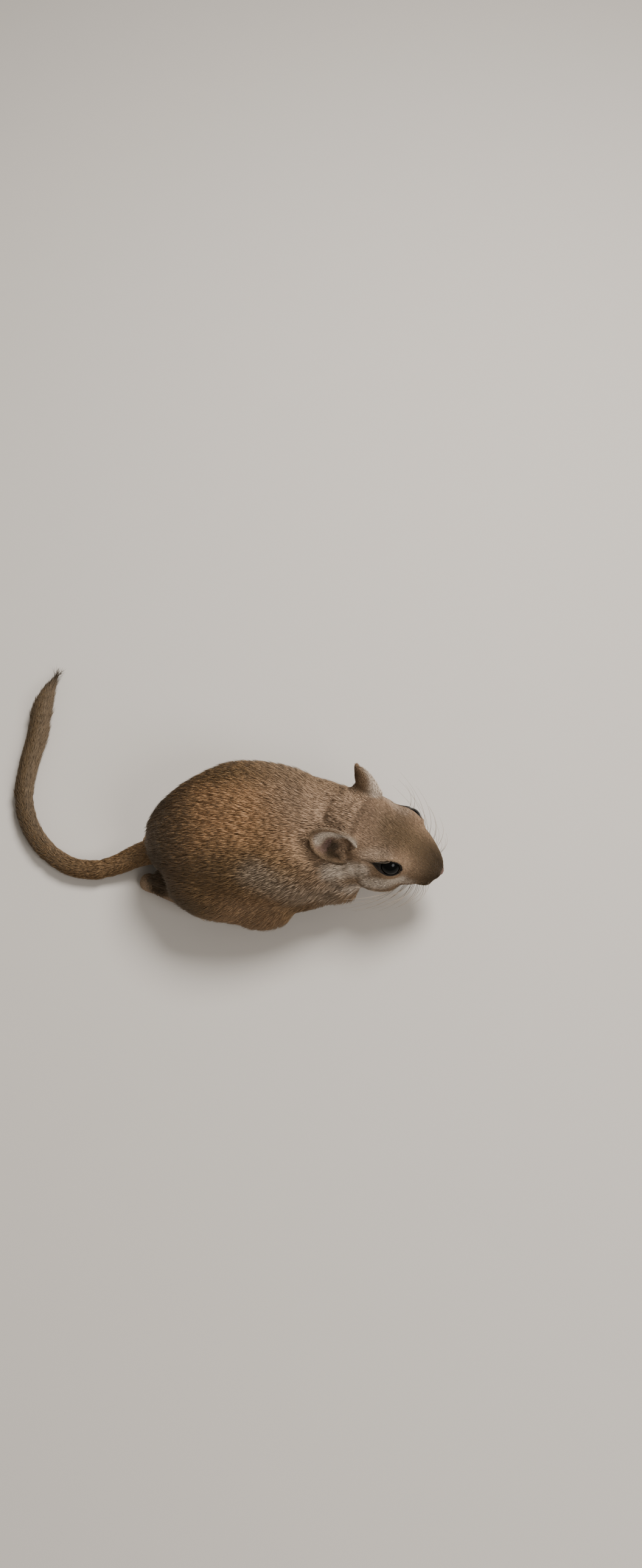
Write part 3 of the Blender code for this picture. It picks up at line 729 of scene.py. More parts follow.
def face_markings(masks, head, face):
    """Cream stripes round the eye and below the ear, brown between them, and a brown snout, with
    painted shade on the muzzle, behind the near ear, in the nostrils and along the mouth's crease.
    """
    folded = both_sides(head)
    cream = [
        0.95 * stripe(folded, ((11.5, 15.0, -3.4), (16.0, 13.2, -2.2), (20.0, 10.6, 0.2)), 1.0, 3.6),
        0.6 * stripe(folded, ((20.0, 10.6, 0.2), (23.5, 8.0, -1.5)), 0.5, 2.8),
        stripe(folded, ((-4.0, 18.5, -1.0), (2.0, 15.2, -2.0), (7.0, 13.6, 0.0)), 1.2, 4.8),
        stripe(folded, ((-10.0, 27.0, -0.5), (-4.5, 24.0, -4.8), (4.0, 19.5, -10.5)), 2.0, 6.0),
        0.2 * stripe(folded, ((6.4, 11.0, 6.6), (9.2, 9.6, 8.0), (12.0, 8.8, 8.8)), 0.6, 3.0),
        smooth_step(-head[:, 2], 5.5, 8.5),
    ]
    cheek = stripe(folded, ((3.0, 17.5, -6.0), (8.5, 15.6, -6.6), (12.5, 14.5, -6.4)), 0.8, 3.4)
    snout = stripe(head, ((12.0, 0.0, 10.0), (24.0, 0.0, 5.6), (32.0, 0.0, -0.5)), 1.0, 10.0)
    # Painted shadow behind the near ear, on that side only.
    behind_ear_shade = stripe(head, ((-12.0, -9.5, 7.5), (-8.5, -6.0, 8.5), (-1.5, -7.0, 10.0)), 0.8, 3.2)
    crown = spot(head, (10.0, 0.0, 9.0), 4.0, 14.0)
    tip = 1 - smooth_step(np.linalg.norm((head - NOSE_PLACE) / (2.4, 2.2, 1.6), axis=1), 0.7, 1.1)
    # Darker towards the nose: partly the darker fur at the snout's end, partly painted shade.
    muzzle_shade = smooth_step(head[:, 0], 17.0, 30.0)
    masks["pale"] = np.maximum(masks["pale"], np.max(cream, axis=0) * face)
    masks["haunch"] = np.maximum(masks["haunch"], np.maximum(0.7 * snout, 0.7 * muzzle_shade) * face)
    masks["shoulder"] = np.maximum(masks["shoulder"], face)
    marks = [0.26 * snout + 0.6 * muzzle_shade, 0.3 * cheek, 0.32 * behind_ear_shade, 0.36 * crown, 0.75 * tip]
    masks["dark"] = np.maximum(masks["dark"], np.max(marks, axis=0) * face)
    masks["bare"] = np.maximum(masks["bare"], tip * face)
    # Painted shade in the nostrils and along the mouth's crease and split lip, in the lids' dark
    # colour.
    nostril = 1.7 - 1.7 * smooth_step(nostril_gap(head), 0.4, 1.2)
    lips = 1.15 - 1.15 * smooth_step(lip_gap(head), 0.0, 0.22)
    masks["rim"] = np.max([masks["rim"], nostril, lips], axis=0)


def ear_markings(masks, head, turned, mine, side):
    """Olive back, a pale front margin that is partly a painted highlight, and a bare grey-pink cup
    with painted shade in its pit and round its opening.
    """
    axis = np.array(EAR_AXES[side].normalized())
    facing = np.array(EAR_FACINGS[side])
    facing = units((facing - axis * (facing @ axis))[None])[0]
    front = np.cross(axis, facing)
    front = front if front[0] > 0 else -front
    away = head[mine] - np.array(EAR_PLACES[side])
    up, ahead = away @ axis, away @ front
    inward, forward = turned[mine] @ facing, turned[mine] @ front
    inner = smooth_step(inward, -0.2, 0.3)
    reach = np.hypot((up - 4.6) / 5.6, ahead / 5.4)
    band = inner * stripe(np.stack([up, ahead, 0 * up], axis=1), EAR_BAND, 1.1, 2.5)
    edge = smooth_step(reach, 0.72, 0.9)
    rim = smooth_step(forward, 0.3, 0.7) * smooth_step(inward, -0.85, -0.4)
    rim = EAR_RIM_PALE_AND_HIGHLIGHT[side] * rim * smooth_step(ahead + 0.35 * (up - 4), 0.8, 2.4)
    # Painted shade in the pit of the cup.
    pit = inner * (1 - smooth_step(up, 1.5, 5.0)) * smooth_step(1.5 - ahead, 0, 2) * (1 - band)
    masks["pale"][mine] = np.maximum(band, rim)
    masks["bare"][mine] = inner * (1 - band) * (1 - edge)
    masks["dark"][mine] = np.maximum(0.3 * np.maximum(1 - inner, edge) * (1 - rim), 0.8 * pit)
    masks["shoulder"][mine] = 1.0
    masks["haunch"][mine] = 0.4
    opening = np.array(EAR_PLACES[side]) + facing * 0.9 - axis * 0.9 - front * 1.5
    shadow = 0.9 * spot(head, opening, 1.2, 3.2) * smooth_step(turned @ facing, -0.5, 0.0)
    masks["dark"] = np.maximum(masks["dark"], shadow)


def tail_markings(masks, place, normals, tail):
    """Golden olive, painted shade along the outer side, a painted highlight along the inner side, pale
    beneath, and a dark tip.
    """
    _, share = near_line(place, TAIL_LINE)
    outer = units(np.cross(line_way(TAIL_LINE, share), (0, 0, 1.0)))
    outward = -np.sum(outer * normals, axis=1)
    # Painted shade along the outer side, and the tail's own dark tip.
    streak = 0.6 * smooth_step(outward, -0.1, 0.5) + 1.2 * smooth_step(share, 0.87, 0.98)
    streak = np.clip(streak, 0, 0.9)
    # A painted highlight along the inner side, and paler fur beneath.
    pale_under_and_highlight = np.maximum(
        0.4 * smooth_step(-outward, 0.1, 0.7), 0.5 * smooth_step(-normals[:, 2], 0.3, 0.9)
    )
    late = smooth_step(share, 0.2, 0.6)
    masks["dark"][tail] = (0.4 * late + streak * (0.2 + 0.4 * late))[tail]
    masks["haunch"][tail] = (0.7 + 0.25 * late)[tail]
    masks["shoulder"][tail] = 0.0
    pale_under_and_highlight *= 0.3 * (1 - streak) * smooth_step(share, 0.2, 0.5)
    masks["pale"][tail] = pale_under_and_highlight[tail]


def coat_markings(points, normals, names, found, web):
    """How strongly each marking shows at each point of the skin."""
    place = points / MM
    head = in_head(points)
    turned = normals @ np.array(HEAD_TURN)
    kinds = np.array([kind_of(name) for name in names])[found]
    masks = body_markings(place, normals)
    face = web.spread((kinds == "head").astype(float), 12)
    face = np.maximum(face, 0.95 * web.spread((kinds == "neck").astype(float), 20))
    face_markings(masks, head, face)
    for side in SIDES:
        ear_markings(masks, head, turned, found == names.index(f"ear_{side}"), side)
        out, along, up = in_eye(points, side)
        near = (out > -1) & (along > -9) & (along < LID_FRONT + 0.6)
        inside = smooth_step(lid_edge(along) + 0.5 - np.abs(up), 0.0, 0.45)
        corner = np.hypot((along + LID_REAR) / 2.2, up / 1.2)
        inside = np.maximum(inside, 0.75 * (1 - smooth_step(corner, 0.2, 1.0)))
        masks["rim"] = np.maximum(masks["rim"], inside * near)
    foot = (kinds == "hind_foot") | (kinds == "fore_foot")
    foot = web.spread(foot.astype(float), 10)
    under = smooth_step(-normals[:, 2], 0.2, 0.7)
    heel = smooth_step(-place[:, 0] - 12, 0, 5)
    masks["pale"] = np.maximum(masks["pale"], 0.6 * foot * (1 - 0.6 * heel))
    masks["haunch"] = np.maximum(masks["haunch"] * (1 - 0.4 * foot), 0.4 * foot * heel)
    masks["dark"] = masks["dark"] * (1 - 0.75 * foot)
    masks["bare"] = np.maximum(masks["bare"], foot * under)
    tail_markings(masks, place, normals, kinds == "tail")
    soft = {"rim": 2, "bare": 3}
    return {
        name: web.spread(np.clip(mask, 0, 1), soft.get(name, 7)) for name, mask in masks.items()
    }


def fold(points, normals, distance, depth, width):
    """Moves points into the skin near a line or a spot, and slightly out at its sides."""
    share = distance / width
    profile = np.exp(-share * share) - 0.25 * np.exp(-((share - 1.9) ** 2) * 1.6)
    return points - normals * (profile * depth * MM)[:, None]


def face_folds(points, normals):
    """Presses in the nostrils, the split lip and the line of the mouth."""
    folded = both_sides(in_head(points))
    mouth, _ = near_line(folded, MOUTH)
    points = fold(points, normals, mouth, MOUTH_DEPTH, 0.45)
    split, _ = near_line(folded, LIP_SPLIT)
    points = fold(points, normals, split, 0.4, 0.35)
    return fold(points, normals, nostril_gap(in_head(points)), 0.9, 0.6)


def both_sides(head):
    """Points of the head's frame all brought to its left side."""
    return np.stack([head[:, 0], np.abs(head[:, 1]), head[:, 2]], axis=1)


def eye_axes(side):
    """The eye's outward way, the line from its rear to its front corner, and its up."""
    out = HEAD_TURN @ mirrored(EYE_OUT, side)
    along = HEAD_TURN @ mirrored(EYE_LINE, side)
    along = (along - out * along.dot(out)).normalized()
    up = out.cross(along)
    return out, along, up if up.z > 0 else -up


def lid_edge(along):
    """Half the height of the opening between the lids, at places along it in millimetres."""
    front = np.sqrt(np.clip(1 - (along / LID_FRONT) ** 2, 0, 1))
    rear = np.clip(1 - (np.abs(along) / LID_REAR) ** 1.7, 0, 1)
    return LID_HEIGHT * np.where(along > 0, front, rear)


def in_eye(points, side):
    """How far points lie out, along and up from an eye's middle, in millimetres."""
    away = (points - np.array(middle(f"eye_{side}"))) / MM
    return [away @ np.array(axis) for axis in eye_axes(side)]


def open_lids(points, radius):
    """Sinks the skin inside the eye's opening and leaves the lids lying on the eyeball."""
    for side in SIDES:
        out, along, up = in_eye(points, side)
        distance = np.sqrt(out**2 + along**2 + up**2)
        inside = smooth_step(lid_edge(along) - np.abs(up), -0.3, 0.1)
        target = radius / MM + LID_THICKNESS - inside * (LID_THICKNESS + 0.8)
        near = (distance < radius / MM + LID_THICKNESS + 0.3) & (out > -1.0)
        centre = np.array(middle(f"eye_{side}"))
        ways = units(points[near] - centre)
        deep = inside[near] > 0
        reach = np.where(deep, target[near], np.maximum(distance[near], target[near]))
        points[near] = centre + ways * (reach * MM)[:, None]
    return points


def unwrap(obj):
    """Lays the skin out flat by its own shape, as the map that the coat's roots use too."""
    for other in bpy.context.selected_objects:
        other.select_set(False)
    bpy.context.view_layer.objects.active = obj
    obj.select_set(True)
    bpy.ops.object.mode_set(mode="EDIT")
    bpy.ops.mesh.select_all(action="SELECT")
    bpy.ops.uv.smart_project(angle_limit=math.radians(72), island_margin=0.002)
    bpy.ops.object.mode_set(mode="OBJECT")
    obj.select_set(False)
    obj.data.uv_layers[0].name = "OFBake"


class GERBIL_OT_skin(bpy.types.Operator):
    """Makes one skin over all the nodes of flesh, under the coat's depth"""

    bl_idname = "gerbil.skin"
    bl_label = "Make the skin"

    def execute(self, context):
        sizes = context.scene.gerbil_sizes
        lid_reach = sizes.eye_radius + LID_THICKNESS * MM
        mesh = remeshed(joined_flesh(SWELL * MM, FACE_SWELL * MM, lid_reach), sizes.skin_grain)
        keep_largest(mesh)
        web = Web(mesh)
        names, found = nearest_kinds(get_points(mesh))
        kinds = np.array([kind_of(name) for name in names])[found]
        fine = {"head": 0.4, "ear": 0.25, "hind_foot": 0.2, "fore_foot": 0.2}
        softness = np.array([fine.get(kind, 1.0) for kind in kinds])
        joint = web.average(found.astype(float)) != found
        joint &= (kinds != "ear") & (kinds != "hind_foot") & (kinds != "fore_foot")
        joint = np.clip(web.spread(joint.astype(float), 8) * 4, 0, 1)
        softness = web.spread(softness, 8)
        points = web.spread(get_points(mesh), 16, softness[:, None])
        points = web.spread(points, 50, joint[:, None])
        set_points(mesh, points)

        head = in_head(get_points(mesh))
        depth = np.array([COATS[kind][0] for kind in kinds])
        muzzle = smooth_step(head[:, 0], 8.0, 27.0)
        depth = np.where(kinds == "head", depth * (1 - 0.65 * muzzle) + FACE_SWELL, depth + SWELL)
        depth = web.spread(depth, 30)
        away = np.linalg.norm(both_sides(head) - np.array(EYE_PLACE), axis=1)
        depth *= smooth_step(away, 4.2, 8.0)
        normals = units(web.spread(get_normals(mesh), 10))
        points = get_points(mesh) - normals * (depth * MM)[:, None]
        points = web.spread(points, 4, softness[:, None])
        set_points(mesh, points)
        points = face_folds(points, get_normals(mesh))
        points = open_lids(points, sizes.eye_radius)
        points[:, 2] = np.maximum(points[:, 2], 0.0)
        set_points(mesh, points)

        normals = get_normals(mesh)
        set_numbers(mesh, "lie", coat_lie(points, normals, names, found, web))
        for name, mask in coat_markings(points, normals, names, found, web).items():
            set_numbers(mesh, name, mask)
        low = smooth_step(points[:, 2] / MM, 2.0, 11.0)
        length = np.array([COATS[kind][1] for kind in kinds])
        length = np.where(kinds == "tail", length, length * (0.35 + 0.65 * low))
        for side in SIDES:
            away = np.linalg.norm(head - np.array(EAR_PLACES[side]), axis=1)
            length *= np.where(kinds == "ear", 1.0, 0.45 + 0.55 * smooth_step(away, 4.0, 10.0))
        set_numbers(mesh, "hair_length", web.spread(length, 16))
        density = np.array([COATS[kind][2] for kind in kinds])
        hidden = smooth_step(-normals[:, 2], 0.3, 0.8) * (kinds != "head")
        set_numbers(mesh, "density", web.spread(density * (1 - 0.45 * hidden), 16))
        set_numbers(mesh, "node", found.astype(float))
        _, share = near_line(points / MM, TAIL_LINE)
        set_numbers(mesh, "tail_share", np.where(kinds == "tail", share, 0.0))
        set_numbers(mesh, "muzzle", muzzle * (kinds == "head"))

        skin = add_object("skin", mesh, skin_finish(context.scene.gerbil_colours))
        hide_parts(*flesh_nodes())
        unwrap(skin)
        return {"FINISHED"}


def skin_samples(kinds, thinning, seed):
    """Roots for hairs, spread evenly over the skin of these kinds of node."""
    mesh = bpy.data.objects["skin"].data
    names = flesh_nodes()
    wanted = [number for number, name in enumerate(names) if kind_of(name) in kinds]
    mesh.calc_loop_triangles()
    count = len(mesh.loop_triangles)
    corners = np.empty(count * 3, np.int32)
    mesh.loop_triangles.foreach_get("vertices", corners)
    corners = corners.reshape(-1, 3)
    loops = np.empty(count * 3, np.int32)
    mesh.loop_triangles.foreach_get("loops", loops)
    loops = loops.reshape(-1, 3)
    owner = get_numbers(mesh, "node")[corners[:, 0]].round().astype(int)
    here = np.isin(owner, wanted)
    corners, loops = corners[here], loops[here]
    points = get_points(mesh)
    legs = points[corners[:, 1:]] - points[corners[:, :1]]
    area = np.linalg.norm(np.cross(legs[:, 0], legs[:, 1]), axis=1) / 2 / MM**2
    weight = np.cumsum(area * get_numbers(mesh, "density")[corners].mean(axis=1) * thinning)
    rng = np.random.default_rng(seed)
    number = int(weight[-1])
    ticks = (np.arange(number) + rng.random(number)) / number * weight[-1]
    chosen = np.searchsorted(weight, ticks).clip(0, len(corners) - 1)
    first, second = rng.random(number), rng.random(number)
    flip = first + second > 1
    first[flip], second[flip] = 1 - first[flip], 1 - second[flip]
    share = np.stack([1 - first - second, first, second], axis=1)

    def blend(values):
        picked = values[corners[chosen]]
        weights = share if picked.ndim == 2 else share[:, :, None]
        return (picked * weights).sum(axis=1)

    maps = np.empty(len(mesh.loops) * 2, np.float32)
    mesh.uv_layers["OFBake"].data.foreach_get("uv", maps)
    maps = maps.reshape(-1, 2)[loops[chosen]]
    roots = {
        "point": blend(points),
        "normal": units(blend(get_normals(mesh))),
        "lie": units(blend(get_numbers(mesh, "lie", 3))),
        "length": blend(get_numbers(mesh, "hair_length")),
        "tail_share": blend(get_numbers(mesh, "tail_share")),
        "muzzle": blend(get_numbers(mesh, "muzzle")),
        "map": (maps * share[:, :, None]).sum(axis=1),
        "shade": rng.random(number),
    }
    for name in MASKS:
        roots[name] = blend(get_numbers(mesh, name))
    return roots, rng


def picked(roots, chosen):
    return {name: values[chosen] for name, values in roots.items()}


def gather(roots, tips, spacing, pull, rng):
    """Draws the tips towards those of leading hairs, so that the coat falls in small locks."""
    count = len(roots)
    step = max(1, int(spacing))
    leaders = rng.permutation(count)[: max(1, count // step)]
    tree = kdtree.KDTree(len(leaders))
    for number, leader in enumerate(leaders):
        tree.insert(Vector(roots[leader]), number)
    tree.balance()
    lead = leaders[[tree.find(Vector(root))[1] for root in roots]]
    return tips + (tips[lead] - tips) * pull


HAIR_FLOOR = 0.05
HAIR_FACES = (
    (0, 2, 1), (0, 1, 4, 3), (1, 2, 5, 4), (2, 0, 3, 5), (3, 4, 6), (4, 5, 6), (5, 3, 6),
)
HAIR_ALONG = (0.0, 0.0, 0.0, 0.5, 0.5, 0.5, 1.0)
HAIR_MAP = ((0, 0), (1, 0), (0.5, 0), (0, 0.5), (1, 0.5), (0.5, 0.5), (0.5, 1))


def hair_mesh(name, roots, middles, tips, width):
    """Flattened three-sided hairs, each thickest in the middle and closed at its root."""
    count = len(roots["point"])
    points = np.empty((count, 7, 3))
    way = units(tips - roots["point"])
    side = units(np.cross(way, roots["normal"]))
    over = np.cross(side, way)
    for ring, centre, size in ((0, roots["point"], 0.75), (1, middles, 1.0)):
        half = (width * size / 2)[:, None]
        points[:, ring * 3] = centre - side * half
        points[:, ring * 3 + 1] = centre + side * half
        points[:, ring * 3 + 2] = centre + over * half * 0.8
    points[:, 6] = tips
    points[:, :, 2] = np.maximum(points[:, :, 2], HAIR_FLOOR * MM)
    pattern = np.array([corner for face in HAIR_FACES for corner in face])
    corners = (np.arange(count)[:, None] * 7 + pattern).ravel()
    counts = np.tile([len(face) for face in HAIR_FACES], count)
    mesh = mesh_from(name, points.reshape(-1, 3), corners, counts)
    set_numbers(mesh, "along", np.tile(HAIR_ALONG, count))
    for key in (*MASKS, "shade"):
        set_numbers(mesh, key, np.repeat(roots[key], 7))
    layer = mesh.uv_layers.new(name="OFBake")
    patch = np.array(HAIR_MAP)[pattern] - 0.5
    maps = np.repeat(roots["map"], len(pattern), axis=0) + np.tile(patch, (count, 1)) * 0.003
    layer.data.foreach_set("uv", np.ascontiguousarray(maps, np.float32).ravel())
    return mesh


def grow_coat(name, roots, rng, width, lift, curl, locks, pull, material):
    """Hairs at the roots, lying along the coat, in pieces of under 200,000 triangles."""
    count = len(roots["point"])
    length = roots["length"] * MM * rng.uniform(0.7, 1.15, count)
    swing = np.radians(rng.normal(0, 9, count))[:, None]
    side = np.cross(roots["normal"], roots["lie"])
    lie = roots["lie"] * np.cos(swing) + side * np.sin(swing)
    rise = np.radians(np.clip(rng.normal(lift, lift * 0.3, count), 2, 80))[:, None]
    first = lie * np.cos(rise) + roots["normal"] * np.sin(rise)
    later = lie * np.cos(rise * curl) + roots["normal"] * np.sin(rise * curl)
    base = roots["point"] - roots["normal"] * 0.3 * width
    middles = base + first * length[:, None] * 0.5
    tips = middles + later * length[:, None] * 0.5
    tips = gather(base, tips, locks, pull, rng)
    middles = middles + (tips - base - (middles - base) * 2) * 0.12
    roots = dict(roots, point=base)
    widths = width * rng.uniform(0.7, 1.25, count)
    order = np.argsort(base[:, 0], kind="stable")
    pieces = math.ceil(count * 10 / 195000)
    for number, part in enumerate(np.array_split(order, pieces)):
        label = f"{name}_{number + 1}" if pieces > 1 else name
        mesh = hair_mesh(label, picked(roots, part), middles[part], tips[part], widths[part])
        add_object(label, mesh, material)


class GERBIL_OT_body_coat(bpy.types.Operator):
    """Grows the coat of the trunk, neck, haunches and legs"""

    bl_idname = "gerbil.body_coat"
    bl_label = "Grow the body's coat"

    def execute(self, context):
        width = context.scene.gerbil_sizes.hair_width
        material = coat_finish("body coat", context.scene.gerbil_colours, 0.9)
        thinning = 1.0
        for name, kinds, slot, seed in (
            ("coat_back", ("torso", "neck"), "coat_back", 11),
            ("coat_haunch", ("thigh", "fore_leg"), "coat_haunch", 12),
        ):
            roots, rng = skin_samples(kinds, thinning, seed)
            grow_coat(name, roots, rng, width, 17, 0.35, 9, 0.3, material)
        return {"FINISHED"}


class GERBIL_OT_face_coat(bpy.types.Operator):
    """Grows the short coat of the head and ears"""

    bl_idname = "gerbil.face_coat"
    bl_label = "Grow the face's coat"

    def execute(self, context):
        width = context.scene.gerbil_sizes.hair_width
        material = coat_finish("face coat", context.scene.gerbil_colours, 0.35)
        thinning = 1.0
        roots, rng = skin_samples(("head",), thinning, 21)
        roots["length"] = roots["length"] * (1 - 0.5 * roots["muzzle"])
        clear = np.full(len(roots["point"]), 1e3)
        for side in SIDES:
            out, along, up = in_eye(roots["point"], side)
            lid = np.hypot(np.maximum(np.abs(along) - 2.6, 0), np.abs(up)) - lid_edge(along)
            lid = np.where((out > 0) & (np.abs(along) < 9), lid, 1e3)
            clear = np.minimum(clear, lid)
        roots["length"] = roots["length"] * (0.3 + 0.7 * smooth_step(clear, 0.3, 4.5))
        head = in_head(roots["point"])
        lips = lip_gap(head)
        roots["length"] = roots["length"] * (0.4 + 0.6 * smooth_step(lips, 0.05, 1.6))
        kept = (clear > 0.45) & (roots["bare"] < 0.5) & (nostril_gap(head) > 1.1)
        kept &= (roots["rim"] < 0.4) | (lips < 2.0)
        roots = picked(roots, kept)
        grow_coat("coat_head", roots, rng, width * 0.6, 11, 0.3, 7, 0.2, material)
        roots, rng = skin_samples(("ear",), thinning, 22)
        kept = rng.random(len(roots["point"])) > roots["bare"] * 0.6
        roots["length"] = roots["length"] * (1 + 0.35 * roots["pale"])
        roots = picked(roots, kept)
        grow_coat("coat_ears", roots, rng, width * 0.5, 14, 0.6, 6, 0.15, material)
        return {"FINISHED"}


class GERBIL_OT_tail_coat(bpy.types.Operator):
    """Grows the coat of the tail, longer towards its tufted tip, and of the feet"""

    bl_idname = "gerbil.tail_coat"
    bl_label = "Grow the tail's and feet's coat"

    def execute(self, context):
        width = context.scene.gerbil_sizes.hair_width
        material = coat_finish("tail coat", context.scene.gerbil_colours, 0.6)
        thinning = 1.0
        roots, rng = skin_samples(("tail",), thinning, 31)
        tuft = smooth_step(roots["tail_share"], 0.6, 0.9)
        inner = units(np.cross(line_way(TAIL_LINE, roots["tail_share"]), (0, 0, 1.0)))
        inner = smooth_step(np.sum(inner * roots["normal"], axis=1), 0.2, 0.9)
        inner *= smooth_step(roots["tail_share"], 0.3, 0.7)
        roots["length"] = roots["length"] * (1 + 0.5 * tuft + 0.7 * inner)
        grow_coat("coat_tail", roots, rng, width * 0.75, 15, 0.5, 8, 0.3, material)
        roots, rng = skin_samples(("hind_foot", "fore_foot"), thinning, 32)
        roots = picked(roots, roots["bare"] < 0.4)
        grow_coat("coat_feet", roots, rng, width * 0.5, 12, 0.3, 6, 0.1, material)
        return {"FINISHED"}


def tube_mesh(name, lines, corners=8, ring=False):
    """Tubes along lines of points with a radius each, closed at their ends or run into a ring."""
    points, faces, along = [], [], []
    for line in lines:
        base = len(points)
        count = len(line)
        side = None
        for number, (place, radius) in enumerate(line):
            before = line[number - 1][0] if number or ring else place
            after = line[(number + 1) % count][0] if number < count - 1 or ring else place
            way = (after - before).normalized()
            side = way.orthogonal() if side is None else side - way * side.dot(way)
            side.normalize()
            over = way.cross(side)
            for corner in range(corners):
                angle = 2 * math.pi * corner / corners
                offset = side * math.cos(angle) + over * math.sin(angle)
                points.append(place + offset * radius)
                along.append(number / (count - 1))
        for number in range(count if ring else count - 1):
            low = base + number * corners
            high = base + (number + 1) % count * corners
            for corner in range(corners):
                beyond = (corner + 1) % corners
                faces.append((low + corner, low + beyond, high + beyond, high + corner))
        if not ring:
            faces.append(tuple(base + corner for corner in reversed(range(corners))))
            faces.append(tuple(base + (count - 1) * corners + corner for corner in range(corners)))
    mesh = bpy.data.meshes.new(name)
    mesh.from_pydata(points, [], faces)
    set_numbers(mesh, "along", np.array(along))
    return mesh


def bent(start, middle_point, end, root, tip, steps):
    """A curved line through three points, its radius running from root to tip."""
    line = []
    for step in range(steps + 1):
        share = step / steps
        control = middle_point * 2 - (start + end) / 2
        place = start * (1 - share) ** 2 + control * 2 * share * (1 - share) + end * share**2
        line.append((place, root + (tip - root) * share))
    return line


def skin_tree():
    skin = bpy.data.objects["skin"]
    return BVHTree.FromPolygons(
        [vertex.co for vertex in skin.data.vertices],
        [polygon.vertices for polygon in skin.data.polygons],
    )


def lid_rim(side, radius, tree):
    """The line of the lids' dark edge, laid on the eyeball and, at the corners, on the skin."""
    out, along, up = eye_axes(side)
    centre = middle(f"eye_{side}")
    steps = 96
    spots = []
    for step in range(steps):
        angle = 2 * math.pi * step / steps
        reach = math.cos(angle) * (LID_FRONT if math.cos(angle) > 0 else LID_REAR)
        high = float(lid_edge(np.array(reach))) * math.copysign(1, math.sin(angle))
        flat = (along * reach + up * high) * MM
        start = centre + flat + out * 9 * MM
        hit = tree.ray_cast(start, -out)[0]
        height = (hit - centre).dot(out) if hit else 0.0
        if flat.length < radius:
            height = max(height, math.sqrt(radius**2 - flat.length_squared))
        spots.append((flat, height))
    rim = []
    for step, (flat, _) in enumerate(spots):
        near = [spots[(step + shift) % steps][1] for shift in range(-3, 4)]
        thin = max(0.0, -flat.dot(along) / (LID_REAR * MM)) ** 3
        place = centre + flat + out * (sum(near) / len(near) - 0.08 * MM)
        rim.append((place, (0.3 - 0.16 * thin) * MM))
    return rim


class GERBIL_OT_eyes(bpy.types.Operator):
    """Makes the glossy eyeballs and the dark rims of their lids"""

    bl_idname = "gerbil.eyes"
    bl_label = "Make the eyes"

    def execute(self, context):
        colours = context.scene.gerbil_colours
        radius = context.scene.gerbil_sizes.eye_radius + EYE_BULGE * MM
        ball_finish, rim_finish = eye_finish(colours), lid_finish(colours)
        tree = skin_tree()
        for side in SIDES:
            turn = eye_axes(side)[0].to_track_quat("Z", "Y").to_matrix()
            centre = middle(f"eye_{side}")
            bm = bmesh.new()
            bmesh.ops.create_uvsphere(bm, u_segments=64, v_segments=40, radius=radius)
            for vert in bm.verts:
                bulge = 1 + 0.05 * max(0.0, vert.co.z / radius) ** 4
                vert.co = centre + turn @ (vert.co * bulge)
            mesh = bpy.data.meshes.new(f"eyeball_{side}")
            bm.to_mesh(mesh)
            bm.free()
            eye = add_object(f"eyeball_{side}", mesh, ball_finish)
            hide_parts(f"eye_{side}")
            rim = tube_mesh(f"lid_rim_{side}", [lid_rim(side, radius, tree)], ring=True)
            add_object(f"lid_rim_{side}", rim, rim_finish)
        return {"FINISHED"}


class GERBIL_OT_claws(bpy.types.Operator):
    """Makes a curved claw at the end of each toe"""

    bl_idname = "gerbil.claws"
    bl_label = "Make the claws"

    def execute(self, context):
        material = horn_finish(context.scene.gerbil_colours)
        for foot in FEET:
            size = 1.0 if foot.startswith("hind") else 0.75
            lines = []
            for tip, way in toe_tips(foot):
                root = tip - way * 0.9 * MM + Vector((0, 0, 0.35 * MM))
                end = tip + way * 2.0 * size * MM
                end.z = 0.3 * MM
                crest = root.lerp(end, 0.55) + Vector((0, 0, 0.55 * size * MM))
                lines.append(bent(root, crest, end, 0.5 * size * MM, 0.07 * MM, 8))
            add_object(f"claws_{foot}", tube_mesh(f"claws_{foot}", lines), material)
        return {"FINISHED"}


class GERBIL_OT_whiskers(bpy.types.Operator):
    """Makes the whiskers in rows on each pad, and a few over each eye"""

    bl_idname = "gerbil.whiskers"
    bl_label = "Make the whiskers"

    def execute(self, context):
        longest = context.scene.gerbil_sizes.whisker_length / MM
        material = whisker_finish(context.scene.gerbil_colours)
        tree = skin_tree()
        rng = np.random.default_rng(41)
        for side in SIDES:
            lines = []
            for row in range(4):
                for column in range(5):
                    place = WHISKER_PAD_PLACE + Vector(
                        (3.4 - column * 1.9 - row * 0.3, 0.0, 2.2 - row * 1.45)
                    )
                    way = Vector((0.25 - 0.22 * column, 1.0, 0.34 - 0.26 * row))
                    reach = longest * (0.42 + 0.145 * column) * rng.uniform(0.85, 1.05)
                    lines.append((place, way, reach))
            for shift in (-1.0, 0.4):
                lines.append((Vector((13.0 + shift, 6.0, 9.0)), Vector((-0.2, 0.7, 0.8)), 9.0))
            hairs = []
            for place, way, reach in lines:
                way = (way + Vector(rng.normal(0, 0.05, 3))).normalized()
                outside = from_head(mirrored(place + Vector((0, 14, 0)), side))
                inward = HEAD_TURN @ mirrored((0.0, -1.0, 0.0), side)
                root = tree.ray_cast(outside, inward)[0]
                if root is None:
                    raise RuntimeError("a whisker's root misses the skin")
                way = HEAD_TURN @ mirrored(way, side)
                back = HEAD_TURN @ Vector((-1.0, 0.0, -0.35))
                start = root - way * 0.3 * MM
                half = start + way * reach * 0.5 * MM
                end = start + (way * 0.93 + back * 0.3) * reach * MM
                end.z = max(end.z, 2.0 * MM)
                hairs.append(bent(start, half, end, 0.085 * MM, 0.02 * MM, 10))
            mesh = tube_mesh(f"whiskers_{side}", hairs, corners=5)
            add_object(f"whiskers_{side}", mesh, material)
        return {"FINISHED"}


def softbox(name, place, target, size, power):
    light = bpy.data.lights.new(name, "AREA")
    light.shape = "DISK"
    light.size = size
    light.energy = power
    obj = bpy.data.objects.new(name, light)
    bpy.context.scene.collection.objects.link(obj)
    obj.location = place
    obj.rotation_euler = (Vector(target) - Vector(place)).to_track_quat("-Z", "Y").to_euler()
    return obj


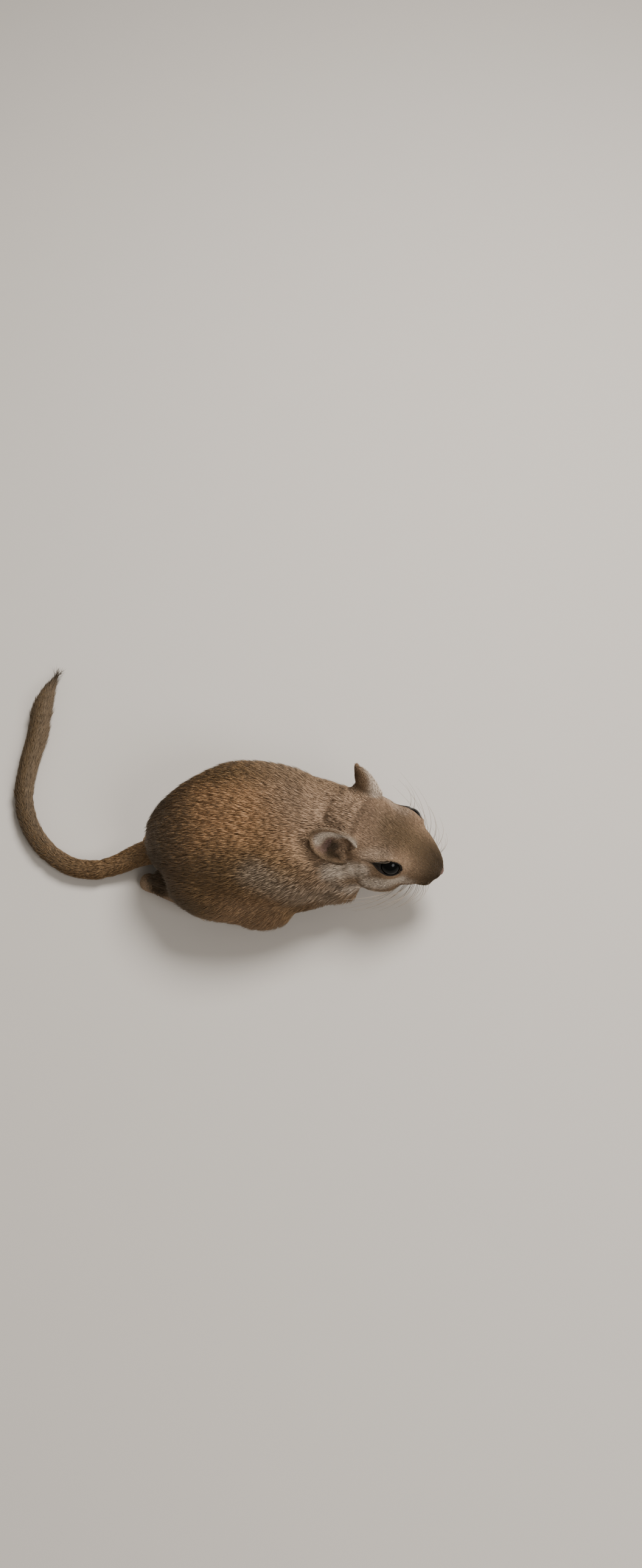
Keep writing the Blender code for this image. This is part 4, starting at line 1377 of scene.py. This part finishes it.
class GERBIL_OT_stage(bpy.types.Operator):
    """Sets the pale floor, the soft lights and the camera"""

    bl_idname = "gerbil.stage"
    bl_label = "Set the stage"

    def execute(self, context):
        scene = context.scene
        reach = 3.0
        mesh = bpy.data.meshes.new("floor")
        corners = [(-reach, -reach, 0), (reach, -reach, 0), (reach, reach, 0), (-reach, reach, 0)]
        mesh.from_pydata(corners, [], [(0, 1, 2, 3)])
        floor = bpy.data.objects.new("floor", mesh)
        mesh.materials.append(floor_finish(scene.gerbil_colours))
        scene.collection.objects.link(floor)

        world = bpy.data.worlds.new("studio")
        world.use_nodes = True
        sky = world.node_tree.nodes["Background"]
        sky.inputs["Color"].default_value = (1.0, 0.96, 0.9, 1.0)
        sky.inputs["Strength"].default_value = 0.33
        scene.world = world
        softbox("key", (0.22, 0.28, 0.62), (0.0, 0.0, 0.02), 0.3, 6.5)
        softbox("fill", (0.34, -0.38, 0.5), (0.0, 0.0, 0.02), 0.3, 2.0)

        lens = bpy.data.cameras.new("camera")
        lens.lens = scene.gerbil_sizes.lens
        lens.sensor_width = 36.0
        lens.sensor_fit = "AUTO"
        lens.clip_start = 0.01
        camera = bpy.data.objects.new("camera", lens)
        scene.collection.objects.link(camera)
        camera.location = (36.13 * MM, -175.15 * MM, 381.0 * MM)
        camera.rotation_euler = (math.radians(25.6), 0.0, 0.0)
        scene.camera = camera
        return {"FINISHED"}


OPERATORS = (
    GERBIL_OT_skin,
    GERBIL_OT_eyes,
    GERBIL_OT_body_coat,
    GERBIL_OT_face_coat,
    GERBIL_OT_tail_coat,
    GERBIL_OT_claws,
    GERBIL_OT_whiskers,
    GERBIL_OT_stage,
)


class GERBIL_PT_panel(bpy.types.Panel):
    """Lists the pieces of the gerbil"""

    bl_idname = "GERBIL_PT_panel"
    bl_label = "Gerbil"
    bl_space_type = "VIEW_3D"
    bl_region_type = "UI"
    bl_category = "Gerbil"

    def draw(self, context):
        for operator in OPERATORS:
            self.layout.operator(operator.bl_idname)


CLASSES = (GerbilColours, GerbilSizes, *OPERATORS, GERBIL_PT_panel)


def register():
    for cls in CLASSES:
        bpy.utils.register_class(cls)
    bpy.types.Scene.gerbil_colours = bpy.props.PointerProperty(type=GerbilColours)
    bpy.types.Scene.gerbil_sizes = bpy.props.PointerProperty(type=GerbilSizes)


def unregister():
    del bpy.types.Scene.gerbil_sizes
    del bpy.types.Scene.gerbil_colours
    for cls in reversed(CLASSES):
        bpy.utils.unregister_class(cls)


def main():
    register()
    for operator in OPERATORS:
        family, name = operator.bl_idname.split(".")
        getattr(getattr(bpy.ops, family), name)()


if __name__ == "__main__":
    main()
